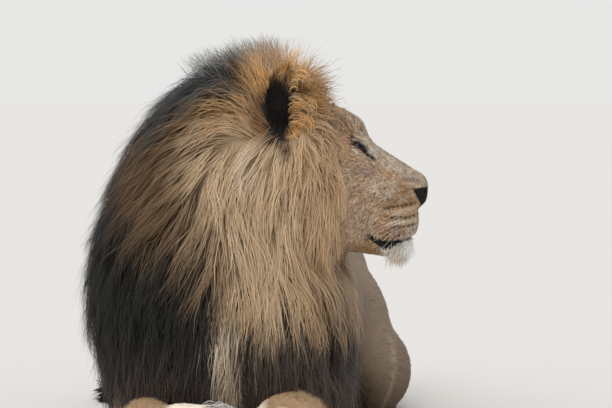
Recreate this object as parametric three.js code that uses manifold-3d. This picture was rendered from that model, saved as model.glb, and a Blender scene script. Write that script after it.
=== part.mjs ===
// A male lion lying on its chest with its head turned to its own left, life size.
// Millimetres, +Z up. The animal faces -Y, its body runs back along +Y, and its nose
// points along +X. Every solid reaches out to the tips of the coat.
import * as THREE from 'three';
import { mergeVertices } from 'three/addons/utils/BufferGeometryUtils.js';
import Module from 'manifold-3d';

const wasm = await Module();
wasm.setup();

// ---- driving dimensions ----
const gap = 0.4;              // clearance between neighbouring solids
const floorZ = 0;             // everything that rests is cut flat here
const beyond = 3000;          // larger than the animal, for cutting blocks
const bodyTurn = 8;           // degrees that the hindquarters swing towards +X
const shoulderY = 60;         // pivot of that swing
const headY = -125;           // mid plane of the turned head
const faceX = 246;            // where the face meets the mane
const mouthZ = 466;           // closed lips
const mouthCornerX = 290;
const eyeball = { x: 266, side: 61, z: 674, radius: 18.5 };
const maneCuts = { crownZ: 640, chestZ: 400 };    // heights where the mane is parted into solids
const lidGap = { ahead: 16, outward: 16, raise: 1, half: [20, 24, 9], tilt: 34, heading: 45 };

const coat = {
  tan: 0x9c7f5f, face: 0xa8875f, blond: 0xa98f6c, ginger: 0x9a6f42, dark: 0x35302d,
  cream: 0xd2c6b2, black: 0x14120f, leather: 0x2a2422, eye: 0x6f4a1c,
};

// ---- shape helpers ----
const radians = THREE.MathUtils.degToRad;

// value of one named size at a place along the rows, on a smooth curve through them
function sizeAt(rows, name, place) {
  let i = 0;
  while (i < rows.length - 2 && place > rows[i + 1].at) i += 1;
  const a = rows[i];
  const b = rows[i + 1];
  const before = rows[Math.max(i - 1, 0)];
  const after = rows[Math.min(i + 2, rows.length - 1)];
  const span = b.at - a.at;
  const t = THREE.MathUtils.clamp((place - a.at) / span, 0, 1);
  const slopeA = (b[name] - before[name]) / (b.at - before.at) * span;
  const slopeB = (after[name] - a[name]) / (after.at - a.at) * span;
  const t2 = t * t;
  const t3 = t2 * t;
  return (2 * t3 - 3 * t2 + 1) * a[name] + (t3 - 2 * t2 + t) * slopeA
    + (3 * t2 - 2 * t3) * b[name] + (t3 - t2) * slopeB;
}

// closed skin over a list of rings with equal numbers of points
function skinOver(rings) {
  const sides = rings[0].length;
  const points = rings.flat();
  const faces = [];
  for (let r = 0; r < rings.length - 1; r += 1) {
    for (let s = 0; s < sides; s += 1) {
      const a = r * sides + s;
      const b = r * sides + (s + 1) % sides;
      faces.push(a, b, a + sides, b, b + sides, a + sides);
    }
  }
  for (const end of [0, rings.length - 1]) {
    const middle = new THREE.Vector3();
    rings[end].forEach((p) => middle.addScaledVector(p, 1 / sides));
    points.push(middle);
    const hub = points.length - 1;
    for (let s = 0; s < sides; s += 1) {
      const a = end * sides + s;
      const b = end * sides + (s + 1) % sides;
      faces.push(...(end === 0 ? [hub, b, a] : [hub, a, b]));
    }
  }
  const geometry = new THREE.BufferGeometry();
  geometry.setAttribute('position',
    new THREE.Float32BufferAttribute(points.flatMap((p) => [p.x, p.y, p.z]), 3));
  geometry.setIndex(faces);
  return geometry;
}

// one closed solid from a geometry, always with positive volume
function solid(geometry) {
  const bare = geometry.clone();
  bare.deleteAttribute('normal');
  bare.deleteAttribute('uv');
  const merged = mergeVertices(bare, 1e-3);
  const position = merged.attributes.position;
  const index = merged.index.array;
  const volume = new THREE.Vector3();
  const corners = [new THREE.Vector3(), new THREE.Vector3(), new THREE.Vector3()];
  let total = 0;
  for (let i = 0; i < index.length; i += 3) {
    corners.forEach((corner, k) => corner.fromBufferAttribute(position, index[i + k]));
    total += corners[0].dot(volume.crossVectors(corners[1], corners[2]));
  }
  const triVerts = Uint32Array.from(index);
  if (total < 0) {
    for (let i = 0; i < triVerts.length; i += 3) {
      [triVerts[i + 1], triVerts[i + 2]] = [triVerts[i + 2], triVerts[i + 1]];
    }
  }
  return new wasm.Manifold(new wasm.Mesh({
    numProp: 3, vertProperties: Float32Array.from(position.array), triVerts,
  }));
}

const roundPower = (value, power) => Math.sign(value) * Math.abs(value) ** (2 / power);

// solid whose flat rings stand square to one axis: 'x', 'y' or 'z'. Each row gives, at a place
// along that axis, the reach to both sides (lowU, highU) and (lowV, highV) of (midU, midV).
function hull(rows, { axis, steps, sides, power = 2.2, endRound = 0.12, grow = 0 }) {
  const start = rows[0].at;
  const length = rows[rows.length - 1].at - start;
  const rings = [];
  for (let i = 0; i <= steps; i += 1) {
    const t = (1 - Math.cos(Math.PI * i / steps)) / 2;
    const edge = Math.min(t, 1 - t) / endRound;
    const fill = edge >= 1 ? 1 : Math.sqrt(Math.max(1 - (1 - edge) ** 2, 0.01));
    const place = start + t * length;
    const size = (name) => sizeAt(rows, name, place);
    const ring = [];
    for (let s = 0; s < sides; s += 1) {
      const angle = 2 * Math.PI * s / sides;
      const c = roundPower(Math.cos(angle), power);
      const d = roundPower(Math.sin(angle), power);
      const midU = size('midU');
      const midV = size('midV');
      const u = midU + c * ((c > 0 ? size('highU') - midU : midU - size('lowU')) * fill + grow);
      const v = midV + d * ((d > 0 ? size('highV') - midV : midV - size('lowV')) * fill + grow);
      const w = place + grow * (2 * t - 1);
      if (axis === 'x') ring.push(new THREE.Vector3(w, u, v));
      if (axis === 'y') ring.push(new THREE.Vector3(-u, w, v));
      if (axis === 'z') ring.push(new THREE.Vector3(u, v, w));
    }
    rings.push(ring);
  }
  return solid(skinOver(rings));
}

// round limb through its joints: each joint has a place, a half width and a half height
function limb(joints, { steps, sides, grow = 0, power = 2.1 }) {
  const path = new THREE.CatmullRomCurve3(joints.map((j) => new THREE.Vector3(...j.place)),
    false, 'centripetal');
  const rows = joints.map((j, i) => ({ at: i / (joints.length - 1), ...j }));
  const up = new THREE.Vector3(0, 0, 1);
  const rings = [];
  for (let i = 0; i <= steps; i += 1) {
    const t = (1 - Math.cos(Math.PI * i / steps)) / 2;
    const middle = path.getPoint(t);
    const ahead = path.getTangent(t);
    const aside = new THREE.Vector3().crossVectors(ahead, up).normalize();
    const over = new THREE.Vector3().crossVectors(aside, ahead).normalize();
    const edge = Math.min(t, 1 - t) * (joints.length - 1) * 3;
    const fill = edge >= 1 ? 1 : Math.sqrt(Math.max(1 - (1 - edge) ** 2, 0.02));
    middle.addScaledVector(ahead, grow * (2 * t - 1));
    const ring = [];
    for (let s = 0; s < sides; s += 1) {
      const angle = 2 * Math.PI * s / sides;
      const across = roundPower(Math.cos(angle), power) * (sizeAt(rows, 'half', t) * fill + grow);
      const upward = roundPower(Math.sin(angle), power) * (sizeAt(rows, 'tall', t) * fill + grow);
      ring.push(middle.clone().addScaledVector(aside, across).addScaledVector(over, upward));
    }
    rings.push(ring);
  }
  return solid(skinOver(rings));
}

// ellipsoid with half sizes, turned about X, Y and Z in degrees
function blob({ place, half, turn = [0, 0, 0], grow = 0, detail = 9 }) {
  const geometry = new THREE.SphereGeometry(1, detail, Math.round(detail * 0.6));
  geometry.scale(...half.map((h) => h + grow));
  geometry.applyMatrix4(new THREE.Matrix4().makeRotationFromEuler(
    new THREE.Euler(...turn.map(radians), 'ZYX')));
  geometry.translate(...place);
  return solid(geometry);
}

// block between two corners
function block(low, high) {
  const size = high.map((h, i) => h - low[i]);
  const geometry = new THREE.BoxGeometry(...size);
  geometry.translate(...low.map((l, i) => l + size[i] / 2));
  return solid(geometry);
}

const join = (solids) => solids.reduce((all, one) => all.add(one));
const cutBy = (whole, cutters) => cutters.reduce((left, one) => left.subtract(one), whole);
const larger = (one, other) => (one.volume() > other.volume() ? one : other);
const mainBody = (shape) => shape.decompose().reduce(larger);      // drops slivers left by a cut
const aboveFloor = (shape) => shape.subtract(block([-beyond, -beyond, -beyond], [beyond, beyond, floorZ]));

// the hindquarters' own frame: straight along +Y, then swung about the shoulders
function swing(point) {
  const turned = new THREE.Vector3(...point).sub(new THREE.Vector3(0, shoulderY, 0))
    .applyAxisAngle(new THREE.Vector3(0, 0, 1), -radians(bodyTurn));
  return turned.add(new THREE.Vector3(0, shoulderY, 0)).toArray();
}

function swingSolid(shape) {
  return shape.translate([0, -shoulderY, 0]).rotate([0, 0, -bodyTurn]).translate([0, shoulderY, 0]);
}

// ---- head ----
const profile = [
  { at: 40, highV: 770, lowV: 590, half: 95, midV: 680 },
  { at: 120, highV: 800, lowV: 500, half: 122, midV: 660 },
  { at: 190, highV: 792, lowV: 455, half: 128, midV: 620 },
  { at: 242, highV: 766, lowV: 442, half: 124, midV: 600 },
  { at: 270, highV: 740, lowV: 434, half: 108, midV: 585 },
  { at: 300, highV: 692, lowV: 430, half: 86, midV: 560 },
  { at: 335, highV: 663, lowV: 428, half: 72, midV: 540 },
  { at: 370, highV: 643, lowV: 430, half: 63, midV: 530 },
  { at: 396, highV: 624, lowV: 446, half: 51, midV: 530 },
  { at: 409, highV: 606, lowV: 476, half: 38, midV: 530 },
].map((row) => ({ ...row, midU: headY, lowU: headY - row.half, highU: headY + row.half }));

const bothSides = [-1, 1];

function headShape(grow = 0) {
  const skull = hull(profile, { axis: 'x', steps: 14, sides: 18, power: 2.2, endRound: 0.04, grow });
  const pairs = bothSides.flatMap((side) => [
    // brow, cheek and lips
    blob({ place: [250, headY + side * 66, 706], half: [32, 32, 19], turn: [side * -18, 42, 0], grow }),
    blob({ place: [236, headY + side * 92, 622], half: [60, 38, 56], turn: [0, 24, side * -18], grow }),
    blob({ place: [360, headY + side * 37, 520], half: [46, 38, 42], turn: [0, 14, side * -12], grow }),
  ]);
  const bridge = blob({ place: [330, headY, 632], half: [84, 33, 27], turn: [0, 35, 0], grow });
  const chin = blob({ place: [358, headY, 448], half: [40, 38, 40], turn: [0, 8, 0], grow });
  return join([skull, ...pairs, bridge, chin]);
}

// the open slit between the lids, just outside the eyeball
function lidOpening(side) {
  const outer = headY + side * (eyeball.side + lidGap.outward);
  return blob({ place: [eyeball.x + lidGap.ahead, outer, eyeball.z + lidGap.raise],
    half: lidGap.half, turn: [0, lidGap.tilt, side * lidGap.heading], detail: 7 });
}

function noseShape(grow = 0) {
  const leather = blob({ place: [401, headY, 588], half: [25, 36, 22], turn: [0, 30, 0],
    grow, detail: 12 });
  const stem = blob({ place: [397, headY, 560], half: [14, 16, 24], turn: [0, -8, 0], grow, detail: 8 });
  return leather.add(stem);
}

function eyeShape(side, grow = 0) {
  const radius = eyeball.radius;
  return blob({ place: [eyeball.x, headY + side * eyeball.side, eyeball.z], half: [radius, radius, radius],
    grow, detail: 10 });
}

// a rounded cup that stands out of the mane, its opening turned forwards and outwards
const ear = { x: 126, side: 138, z: 778, deep: 44, wide: 54, tall: 80, wall: 9, lean: 24, open: 32 };

function earShape(side, grow = 0) {
  return blob({ place: [ear.x, headY + side * ear.side, ear.z], half: [ear.deep, ear.wide, ear.tall],
    turn: [side * -ear.lean, -6, side * ear.open], grow, detail: 12 });
}

function earHollow(side) {
  const half = [ear.deep, ear.wide - ear.wall, ear.tall - ear.wall];
  return blob({ place: [ear.x + 28, headY + side * (ear.side + 12), ear.z + 6], half,
    turn: [side * -ear.lean, -6, side * ear.open], detail: 10 });
}

// ---- mane ----
// ruff: a thick ring of hair about the face, from the crest to the throat
const ruffRows = [
  { at: -60, highV: 790, lowV: 540, half: 90, midV: 640 },
  { at: -30, highV: 862, lowV: 480, half: 145, midV: 625 },
  { at: 20, highV: 900, lowV: 435, half: 182, midV: 610 },
  { at: 90, highV: 906, lowV: 398, half: 208, midV: 580 },
  { at: 160, highV: 880, lowV: 386, half: 216, midV: 565 },
  { at: 215, highV: 822, lowV: 390, half: 202, midV: 560 },
  { at: 253, highV: 760, lowV: 410, half: 172, midV: 560 },
].map((row) => ({ ...row, midU: headY, lowU: headY - row.half, highU: headY + row.half }));

// fall: the curtain over neck, shoulders and chest; left and right, front and back reach
const fallRows = [
  { at: 10, lowU: -262, highU: 262, lowV: -235, highV: 190, midU: 0, midV: -20 },
  { at: 60, lowU: -284, highU: 280, lowV: -275, highV: 225, midU: 0, midV: -30 },
  { at: 160, lowU: -312, highU: 290, lowV: -325, highV: 265, midU: 0, midV: -40 },
  { at: 270, lowU: -343, highU: 290, lowV: -362, highV: 305, midU: -10, midV: -40 },
  { at: 380, lowU: -347, highU: 280, lowV: -375, highV: 350, midU: -20, midV: -30 },
  { at: 480, lowU: -330, highU: 242, lowV: -368, highV: 388, midU: -30, midV: -10 },
  { at: 580, lowU: -298, highU: 215, lowV: -345, highV: 378, midU: -30, midV: 0 },
  { at: 680, lowU: -254, highU: 180, lowV: -305, highV: 290, midU: -20, midV: -20 },
  { at: 770, lowU: -200, highU: 150, lowV: -262, highV: 175, midU: 0, midV: -50 },
  { at: 840, lowU: -122, highU: 120, lowV: -212, highV: 70, midU: 20, midV: -80 },
  { at: 886, lowU: -20, highU: 90, lowV: -165, highV: -20, midU: 40, midV: -100 },
];

function maneShapes(grow = 0) {
  return [
    hull(ruffRows, { axis: 'x', steps: 11, sides: 22, power: 1.85, endRound: 0.03, grow }),
    hull(fallRows, { axis: 'z', steps: 14, sides: 24, power: 2.2, endRound: 0.04, grow }),
  ];
}

// ---- trunk, in the swung frame ----
const trunkRows = [
  { at: -60, highV: 520, lowV: 30, half: 190, midV: 260 },
  { at: 60, highV: 588, lowV: 2, half: 222, midV: 260 },
  { at: 250, highV: 594, lowV: -5, half: 236, midV: 250 },
  { at: 450, highV: 560, lowV: -6, half: 244, midV: 235 },
  { at: 650, highV: 534, lowV: -4, half: 234, midV: 235 },
  { at: 850, highV: 526, lowV: 14, half: 212, midV: 260 },
  { at: 1010, highV: 505, lowV: 40, half: 188, midV: 280 },
  { at: 1130, highV: 440, lowV: 90, half: 128, midV: 290 },
  { at: 1180, highV: 370, lowV: 170, half: 70, midV: 280 },
].map((row) => ({ ...row, midU: 0, lowU: -row.half, highU: row.half }));

function trunkShape(grow = 0) {
  return swingSolid(hull(trunkRows, { axis: 'y', steps: 12, sides: 20, power: 2.3, endRound: 0.08, grow }));
}

// ---- hind legs, folded at both sides, in the swung frame ----
function thighShape(side, grow = 0) {
  return limb([
    { place: swing([side * 92, 1090, 300]), half: 58, tall: 96 },
    { place: swing([side * 122, 970, 250]), half: 98, tall: 168 },
    { place: swing([side * 150, 840, 205]), half: 104, tall: 164 },
    { place: swing([side * 222, 714, 118]), half: 108, tall: 114 },
    { place: swing([side * 254, 612, 92]), half: 64, tall: 66 },
  ], { steps: 7, sides: 14, grow });
}

function shankShape(side, grow = 0) {
  return limb([
    { place: swing([side * 222, 690, 100]), half: 60, tall: 74 },
    { place: swing([side * 226, 800, 94]), half: 60, tall: 76 },
    { place: swing([side * 224, 920, 80]), half: 46, tall: 64 },
    { place: swing([side * 220, 1020, 62]), half: 34, tall: 54 },
  ], { steps: 5, sides: 10, grow });
}

function hindPawShape(side, grow = 0) {
  const foot = limb([
    { place: swing([side * 234, 1050, 42]), half: 33, tall: 46 },
    { place: swing([side * 238, 970, 34]), half: 37, tall: 38 },
    { place: swing([side * 242, 870, 34]), half: 43, tall: 38 },
    { place: swing([side * 242, 762, 36]), half: 55, tall: 43 },
    { place: swing([side * 240, 700, 32]), half: 53, tall: 36 },
  ], { steps: 6, sides: 10, grow });
  return join([foot, ...toes(swing([side * 240, 706, 30]), -90 - bodyTurn, 50, 30, grow)]);
}

// four toes side by side in front of a paw
function toes(place, heading, spread, radius, grow) {
  const ahead = new THREE.Vector3(Math.cos(radians(heading)), Math.sin(radians(heading)), 0);
  const aside = new THREE.Vector3(-ahead.y, ahead.x, 0);
  return [-1.5, -0.5, 0.5, 1.5].map((n) => {
    const reach = (2.25 - n * n) * 7;
    const middle = new THREE.Vector3(...place).addScaledVector(ahead, reach)
      .addScaledVector(aside, n * spread * 0.52);
    return blob({ place: middle.toArray(), half: [radius * 1.35, radius * 0.72, radius],
      turn: [0, 0, heading], grow, detail: 6 });
  });
}

// ---- forelegs ----
const leftForearm = [
  { place: [186, -110, 124], half: 68, tall: 80 },
  { place: [150, -225, 112], half: 68, tall: 74 },
  { place: [118, -325, 96], half: 70, tall: 70 },
];
const leftPaw = [
  { place: [118, -323, 95], half: 69, tall: 70 },
  { place: [104, -400, 80], half: 66, tall: 68 },
  { place: [94, -470, 54], half: 71, tall: 54 },
  { place: [90, -522, 38], half: 65, tall: 38 },
];
const rightForearm = [
  { place: [-206, -120, 104], half: 74, tall: 80 },
  { place: [-190, -240, 98], half: 62, tall: 66 },
  { place: [-168, -336, 94], half: 59, tall: 60 },
];
const rightPaw = [
  { place: [-170, -334, 94], half: 58, tall: 60 },
  { place: [-108, -390, 95], half: 57, tall: 59 },
  { place: [-58, -398, 92], half: 58, tall: 59 },
  { place: [-26, -400, 62], half: 54, tall: 62 },
];

function forePawShape(joints, heading, grow = 0) {
  const tip = joints[joints.length - 1].place;
  const leg = limb(joints, { steps: 6, sides: 11, grow });
  return join([leg, ...toes([tip[0], tip[1], 33], heading, 62, 33, grow)]);
}

// ---- tail: from the rump round the right haunch, laid on the floor ----
const tailBase = [
  { place: swing([0, 1128, 392]), half: 44, tall: 44 },
  { place: swing([-22, 1204, 280]), half: 36, tall: 36 },
  { place: swing([-66, 1246, 140]), half: 29, tall: 30 },
  { place: swing([-122, 1264, 56]), half: 26, tall: 27 },
  { place: swing([-200, 1258, 26]), half: 25, tall: 27 },
];
const tailMiddle = [
  { place: swing([-200, 1258, 26]), half: 25, tall: 27 },
  { place: swing([-300, 1226, 22]), half: 22, tall: 24 },
  { place: swing([-378, 1140, 20]), half: 20, tall: 22 },
  { place: swing([-416, 1030, 20]), half: 20, tall: 22 },
];
const tailTuft = [
  { place: swing([-416, 1030, 20]), half: 22, tall: 22 },
  { place: swing([-430, 950, 28]), half: 40, tall: 32 },
  { place: swing([-428, 860, 30]), half: 46, tall: 35 },
  { place: swing([-410, 770, 22]), half: 18, tall: 22 },
];

// ---- assembly ----
const lion = new THREE.Group();

function place(name, shape, color, roughness = 0.9) {
  const mesh = shape.getMesh();
  const geometry = new THREE.BufferGeometry();
  geometry.setAttribute('position', new THREE.BufferAttribute(mesh.vertProperties.slice(), 3));
  geometry.setIndex([...mesh.triVerts]);
  geometry.computeVertexNormals();
  const node = new THREE.Mesh(geometry, new THREE.MeshStandardMaterial({ color, roughness, metalness: 0 }));
  node.name = name;
  lion.add(node);
}

// eyes, nose and ears keep their shape; what they sit in is cut back round them
const sideName = { '-1': 'right', 1: 'left' };
const sockets = [noseShape(gap), ...bothSides.map((side) => eyeShape(side, gap))];
const faceHalf = block([faceX, -beyond, 0], [beyond, beyond, beyond]);
const jawBlock = block([mouthCornerX, -beyond, 0], [beyond, beyond, mouthZ]);
const jawBlockGrown = block([mouthCornerX - gap, -beyond, 0], [beyond, beyond, mouthZ + gap]);
const face = cutBy(headShape().intersect(faceHalf), [...sockets, ...bothSides.map(lidOpening)]);

place('nose', noseShape(), coat.leather, 0.45);
for (const side of bothSides) {
  place(`eye_${sideName[side]}`, eyeShape(side), coat.eye, 0.15);
  place(`ear_${sideName[side]}`, earShape(side).subtract(earHollow(side)), coat.ginger);
}
place('head', face.subtract(jawBlockGrown), coat.face);
place('lower_jaw', face.intersect(jawBlock), coat.cream);

const faceRoom = headShape(gap).intersect(block([faceX - gap, -beyond, 0], [beyond, beyond, beyond]));
const earRooms = bothSides.map((side) => earShape(side, gap));
const mane = aboveFloor(cutBy(join(maneShapes()), [faceRoom, ...earRooms, ...sockets]));
const level = (low, high) => block([-beyond, -beyond, low], [beyond, beyond, high]);
place('crown', mane.intersect(level(maneCuts.crownZ, beyond)), coat.ginger);
place('neck', mane.intersect(level(maneCuts.chestZ, maneCuts.crownZ - gap)), coat.blond);
place('chest', mane.intersect(level(0, maneCuts.chestZ - gap)), coat.dark);

// the legs and trunk come out from under the mane
const room = maneShapes(gap);

const paws = { left: [leftForearm, leftPaw, -92], right: [rightForearm, rightPaw, -4] };
for (const [side, [forearm, paw, heading]] of Object.entries(paws)) {
  const pawRoom = forePawShape(paw, heading, gap);
  const leg = limb(forearm, { steps: 5, sides: 12 });
  place(`foreleg_${side}`, aboveFloor(cutBy(leg, [...room, pawRoom])), coat.tan);
  place(`forepaw_${side}`, aboveFloor(cutBy(forePawShape(paw, heading), room)), coat.tan);
}

const trunk = aboveFloor(cutBy(trunkShape(), room));
place('trunk', trunk, coat.tan);
const trunkRoom = trunkShape(gap);
for (const side of bothSides) {
  const foot = mainBody(cutBy(hindPawShape(side), [trunkRoom]));
  const footRoom = hindPawShape(side, gap);
  const thigh = mainBody(cutBy(thighShape(side), [trunkRoom, footRoom, ...room]));
  const thighRoom = thighShape(side, gap);
  place(`thigh_${sideName[side]}`, aboveFloor(thigh), coat.tan);
  place(`hind_foot_${sideName[side]}`, aboveFloor(foot), coat.tan);
  const shank = mainBody(cutBy(shankShape(side), [trunkRoom, thighRoom, footRoom]));
  place(`shank_${sideName[side]}`, aboveFloor(shank), coat.tan);
}

const tailPieces = { tail_base: tailBase, tail_middle: tailMiddle, tail_tuft: tailTuft };
const tailRooms = [trunkRoom, ...bothSides.map((side) => thighShape(side, gap))];
for (const [name, joints] of Object.entries(tailPieces)) {
  place(name, aboveFloor(cutBy(limb(joints, { steps: 6, sides: 8 }), tailRooms)),
    name === 'tail_tuft' ? coat.dark : coat.tan);
  tailRooms.push(limb(joints, { steps: 6, sides: 8, grow: gap }));
}

// the origin stands on the floor below the middle of the whole animal
const box = new THREE.Box3().setFromObject(lion);
const middle = box.getCenter(new THREE.Vector3());
lion.children.forEach((node) => node.geometry.translate(-middle.x, -middle.y, -box.min.z));

export default lion;
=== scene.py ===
import math
import time

import bmesh
import bpy
import numpy as np
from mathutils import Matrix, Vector
from mathutils.kdtree import KDTree


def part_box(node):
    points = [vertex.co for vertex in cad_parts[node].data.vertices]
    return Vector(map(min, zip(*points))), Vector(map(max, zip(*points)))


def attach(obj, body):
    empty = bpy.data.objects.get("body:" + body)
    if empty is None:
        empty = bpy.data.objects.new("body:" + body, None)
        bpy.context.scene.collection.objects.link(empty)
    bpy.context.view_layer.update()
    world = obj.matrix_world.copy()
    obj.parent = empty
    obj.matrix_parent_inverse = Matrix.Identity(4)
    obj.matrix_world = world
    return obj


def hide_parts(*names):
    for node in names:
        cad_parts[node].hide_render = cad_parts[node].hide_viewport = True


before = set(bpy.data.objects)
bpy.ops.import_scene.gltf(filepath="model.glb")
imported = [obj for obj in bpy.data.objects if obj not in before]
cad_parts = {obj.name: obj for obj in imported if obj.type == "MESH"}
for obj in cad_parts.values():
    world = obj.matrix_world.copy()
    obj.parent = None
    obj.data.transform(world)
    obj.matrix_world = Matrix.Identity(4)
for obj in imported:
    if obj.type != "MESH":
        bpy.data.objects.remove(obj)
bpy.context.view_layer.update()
rng = np.random.default_rng(7)
started = time.time()

# Everything below is laid out in the lion's own places, in metres: x towards the side that the
# nose points to, y towards the rump, z up from the floor. homePlace moves them into the frame.
eyePlace = np.array([0.266, -0.186, 0.674])
eyeBox = [np.array(corner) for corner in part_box("eye_right")]
homePlace = (eyeBox[0] + eyeBox[1]) / 2 - eyePlace
headY = -0.125          # middle plane of the turned head
shoulderY = 0.060       # the hindquarters swing about this place
bodyTurn = math.radians(8)
turnCos, turnSin = math.cos(bodyTurn), math.sin(bodyTurn)


def stamp(what):
    print(what, round(time.time() - started, 1))


def deselect():
    for ob in bpy.context.selected_objects:
        ob.select_set(False)


class Wire:
    # one socket of a shader, so that sums on it read as plain maths
    def __init__(self, finish, socket):
        self.finish = finish
        self.socket = socket

    def maths(self, kind, first, second):
        return self.finish.add("ShaderNodeMath", {"operation": kind}, {0: first, 1: second})

    def __add__(self, other):
        return self.maths("ADD", self, other)

    def __radd__(self, other):
        return self.maths("ADD", other, self)

    def __sub__(self, other):
        return self.maths("SUBTRACT", self, other)

    def __rsub__(self, other):
        return self.maths("SUBTRACT", other, self)

    def __mul__(self, other):
        return self.maths("MULTIPLY", self, other)

    def __rmul__(self, other):
        return self.maths("MULTIPLY", other, self)


class Finish:
    # the nodes of a material or of the world; add() makes any node and gives back one output as a Wire
    def __init__(self, owner):
        owner.use_nodes = True
        self.owner = owner
        self.tree = owner.node_tree

    def fill(self, node, inputs):
        for key, value in inputs.items():
            if isinstance(value, Wire):
                self.tree.links.new(value.socket, node.inputs[key])
            else:
                node.inputs[key].default_value = value

    def add(self, kind, settings, inputs, output=0):
        node = self.tree.nodes.new(kind)
        for key, value in settings.items():
            setattr(node, key, value)
        self.fill(node, inputs)
        return Wire(self, node.outputs[output]) if node.outputs else None

    def shade(self, **inputs):
        # fills the material's main shader
        shader = self.tree.nodes["Principled BSDF"]
        self.fill(shader, {key.replace("_", " "): value for key, value in inputs.items()})
        return self.owner


view = {"eye": (0.1562, -7.025, 0.950), "pitch": 3.3, "lens": 187.0, "sensor": 36.0, "far": 200}


def makeCamera():
    bpy.ops.object.camera_add(location=Vector(view["eye"]) + Vector(homePlace),
                              rotation=(math.radians(90 - view["pitch"]), 0, 0))
    camera = bpy.context.object
    camera.name = "camera"
    camera.data.lens = view["lens"]
    camera.data.sensor_width = view["sensor"]
    camera.data.clip_end = view["far"]
    bpy.context.scene.camera = camera


light = {"sky": 0.62, "sun": 1.55, "sunWidth": 50, "sunTilt": (38, -14, 0), "backdrop": (0.80, 0.80, 0.79)}


def makeLight():
    bpy.ops.object.light_add(type="SUN", rotation=[math.radians(a) for a in light["sunTilt"]])
    sun = bpy.context.object
    sun.name = "softSun"
    sun.data.energy = light["sun"]
    sun.data.angle = math.radians(light["sunWidth"])
    world = bpy.data.worlds.new("studio")
    bpy.context.scene.world = world
    studio = Finish(world)
    studio.tree.nodes.clear()
    seen = studio.add("ShaderNodeLightPath", {}, {}, "Is Camera Ray")
    glossy = studio.add("ShaderNodeLightPath", {}, {}, "Is Glossy Ray")
    either = studio.add("ShaderNodeMath", {"operation": "MAXIMUM"}, {0: seen, 1: glossy})
    sky = studio.add("ShaderNodeBackground", {}, {"Color": (1, 1, 1, 1), "Strength": light["sky"]})
    backdrop = studio.add("ShaderNodeBackground", {}, {"Color": (*light["backdrop"], 1)})
    both = studio.add("ShaderNodeMixShader", {}, {"Fac": either, 1: sky, 2: backdrop})
    studio.add("ShaderNodeOutputWorld", {}, {"Surface": both})
    bpy.context.scene.view_settings.view_transform = "Standard"


floor = {"size": 60.0, "color": (0.80, 0.78, 0.75), "roughness": 0.9}


def makeFloor():
    bpy.ops.mesh.primitive_plane_add(size=floor["size"], location=(0, 0, 0))
    plane = bpy.context.object
    plane.name = "studioFloor"
    finish = Finish(bpy.data.materials.new("studioFloor"))
    plane.data.materials.append(finish.shade(Base_Color=(*floor["color"], 1), Roughness=floor["roughness"]))


# soft forms: distance fields that blend into one skin

def turnedBack(p):
    # places in the hindquarters' own straight frame
    x, y = p[:, 0], p[:, 1] - shoulderY
    return np.stack([turnCos * x - turnSin * y, turnSin * x + turnCos * y + shoulderY, p[:, 2]], axis=1)


def egg(p, middle, half, tilt=0.0, yaw=0.0):
    # ellipsoid, tilted nose down about y, then turned about z, in degrees
    q = p - np.array(middle, p.dtype)
    a, b = math.radians(yaw), math.radians(tilt)
    x = math.cos(a) * q[:, 0] + math.sin(a) * q[:, 1]
    y = -math.sin(a) * q[:, 0] + math.cos(a) * q[:, 1]
    u = math.cos(b) * x - math.sin(b) * q[:, 2]
    w = math.sin(b) * x + math.cos(b) * q[:, 2]
    k0 = np.sqrt((u / half[0]) ** 2 + (y / half[1]) ** 2 + (w / half[2]) ** 2)
    k1 = np.sqrt((u / half[0] ** 2) ** 2 + (y / half[1] ** 2) ** 2 + (w / half[2] ** 2) ** 2)
    return k0 * (k0 - 1) / np.maximum(k1, 1e-6)


def bone(p, start, end, startRadius, endRadius):
    # round bar that tapers
    a = np.array(start, p.dtype)
    b = np.array(end, p.dtype)
    ab = b - a
    q = p - a
    t = np.clip(q @ ab / (ab @ ab), 0, 1)
    away = q - t[:, None] * ab
    return np.sqrt((away ** 2).sum(1)) - (startRadius + (endRadius - startRadius) * t)


def blend(a, b, k):
    # joins two forms with a fillet about k wide
    h = np.clip(0.5 + 0.5 * (a - b) / k, 0, 1)
    return a + (b - a) * h - k * h * (1 - h)


def melted(p, forms, d=None):
    # blends named forms in turn; each row starts with its fillet
    for fillet, form, *shape in forms.values():
        here = form(p, *shape)
        d = here if d is None else blend(d, here, fillet)
    return d


def bump(value, width):
    return np.exp(-(value / width) ** 2)


def ramp(value, low, high):
    # 0 below low, 1 above high, smooth between
    t = np.clip((value - low) / (high - low), 0, 1)
    return t * t * (3 - 2 * t)


def curve(x, places, values):
    # straight lines between the values at these places
    return np.interp(x, places, values).astype(x.dtype)


trunkSize = {
    "y": (-0.06, 0.06, 0.20, 0.40, 0.60, 0.80, 0.96, 1.08, 1.15, 1.165),
    "half": (0.140, 0.196, 0.216, 0.230, 0.224, 0.206, 0.180, 0.140, 0.085, 0.030),
    "top": (0.46, 0.556, 0.578, 0.550, 0.524, 0.515, 0.500, 0.456, 0.392, 0.335),
    "low": (0.09, 0.020, 0.004, 0.002, 0.003, 0.018, 0.042, 0.085, 0.165, 0.230),
    "middle": (0.27, 0.27, 0.26, 0.245, 0.240, 0.262, 0.285, 0.300, 0.295, 0.285),
    "squareness": (1.85, 2.5),      # of the rings above and below the middle, 2 is an ellipse
}


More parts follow.
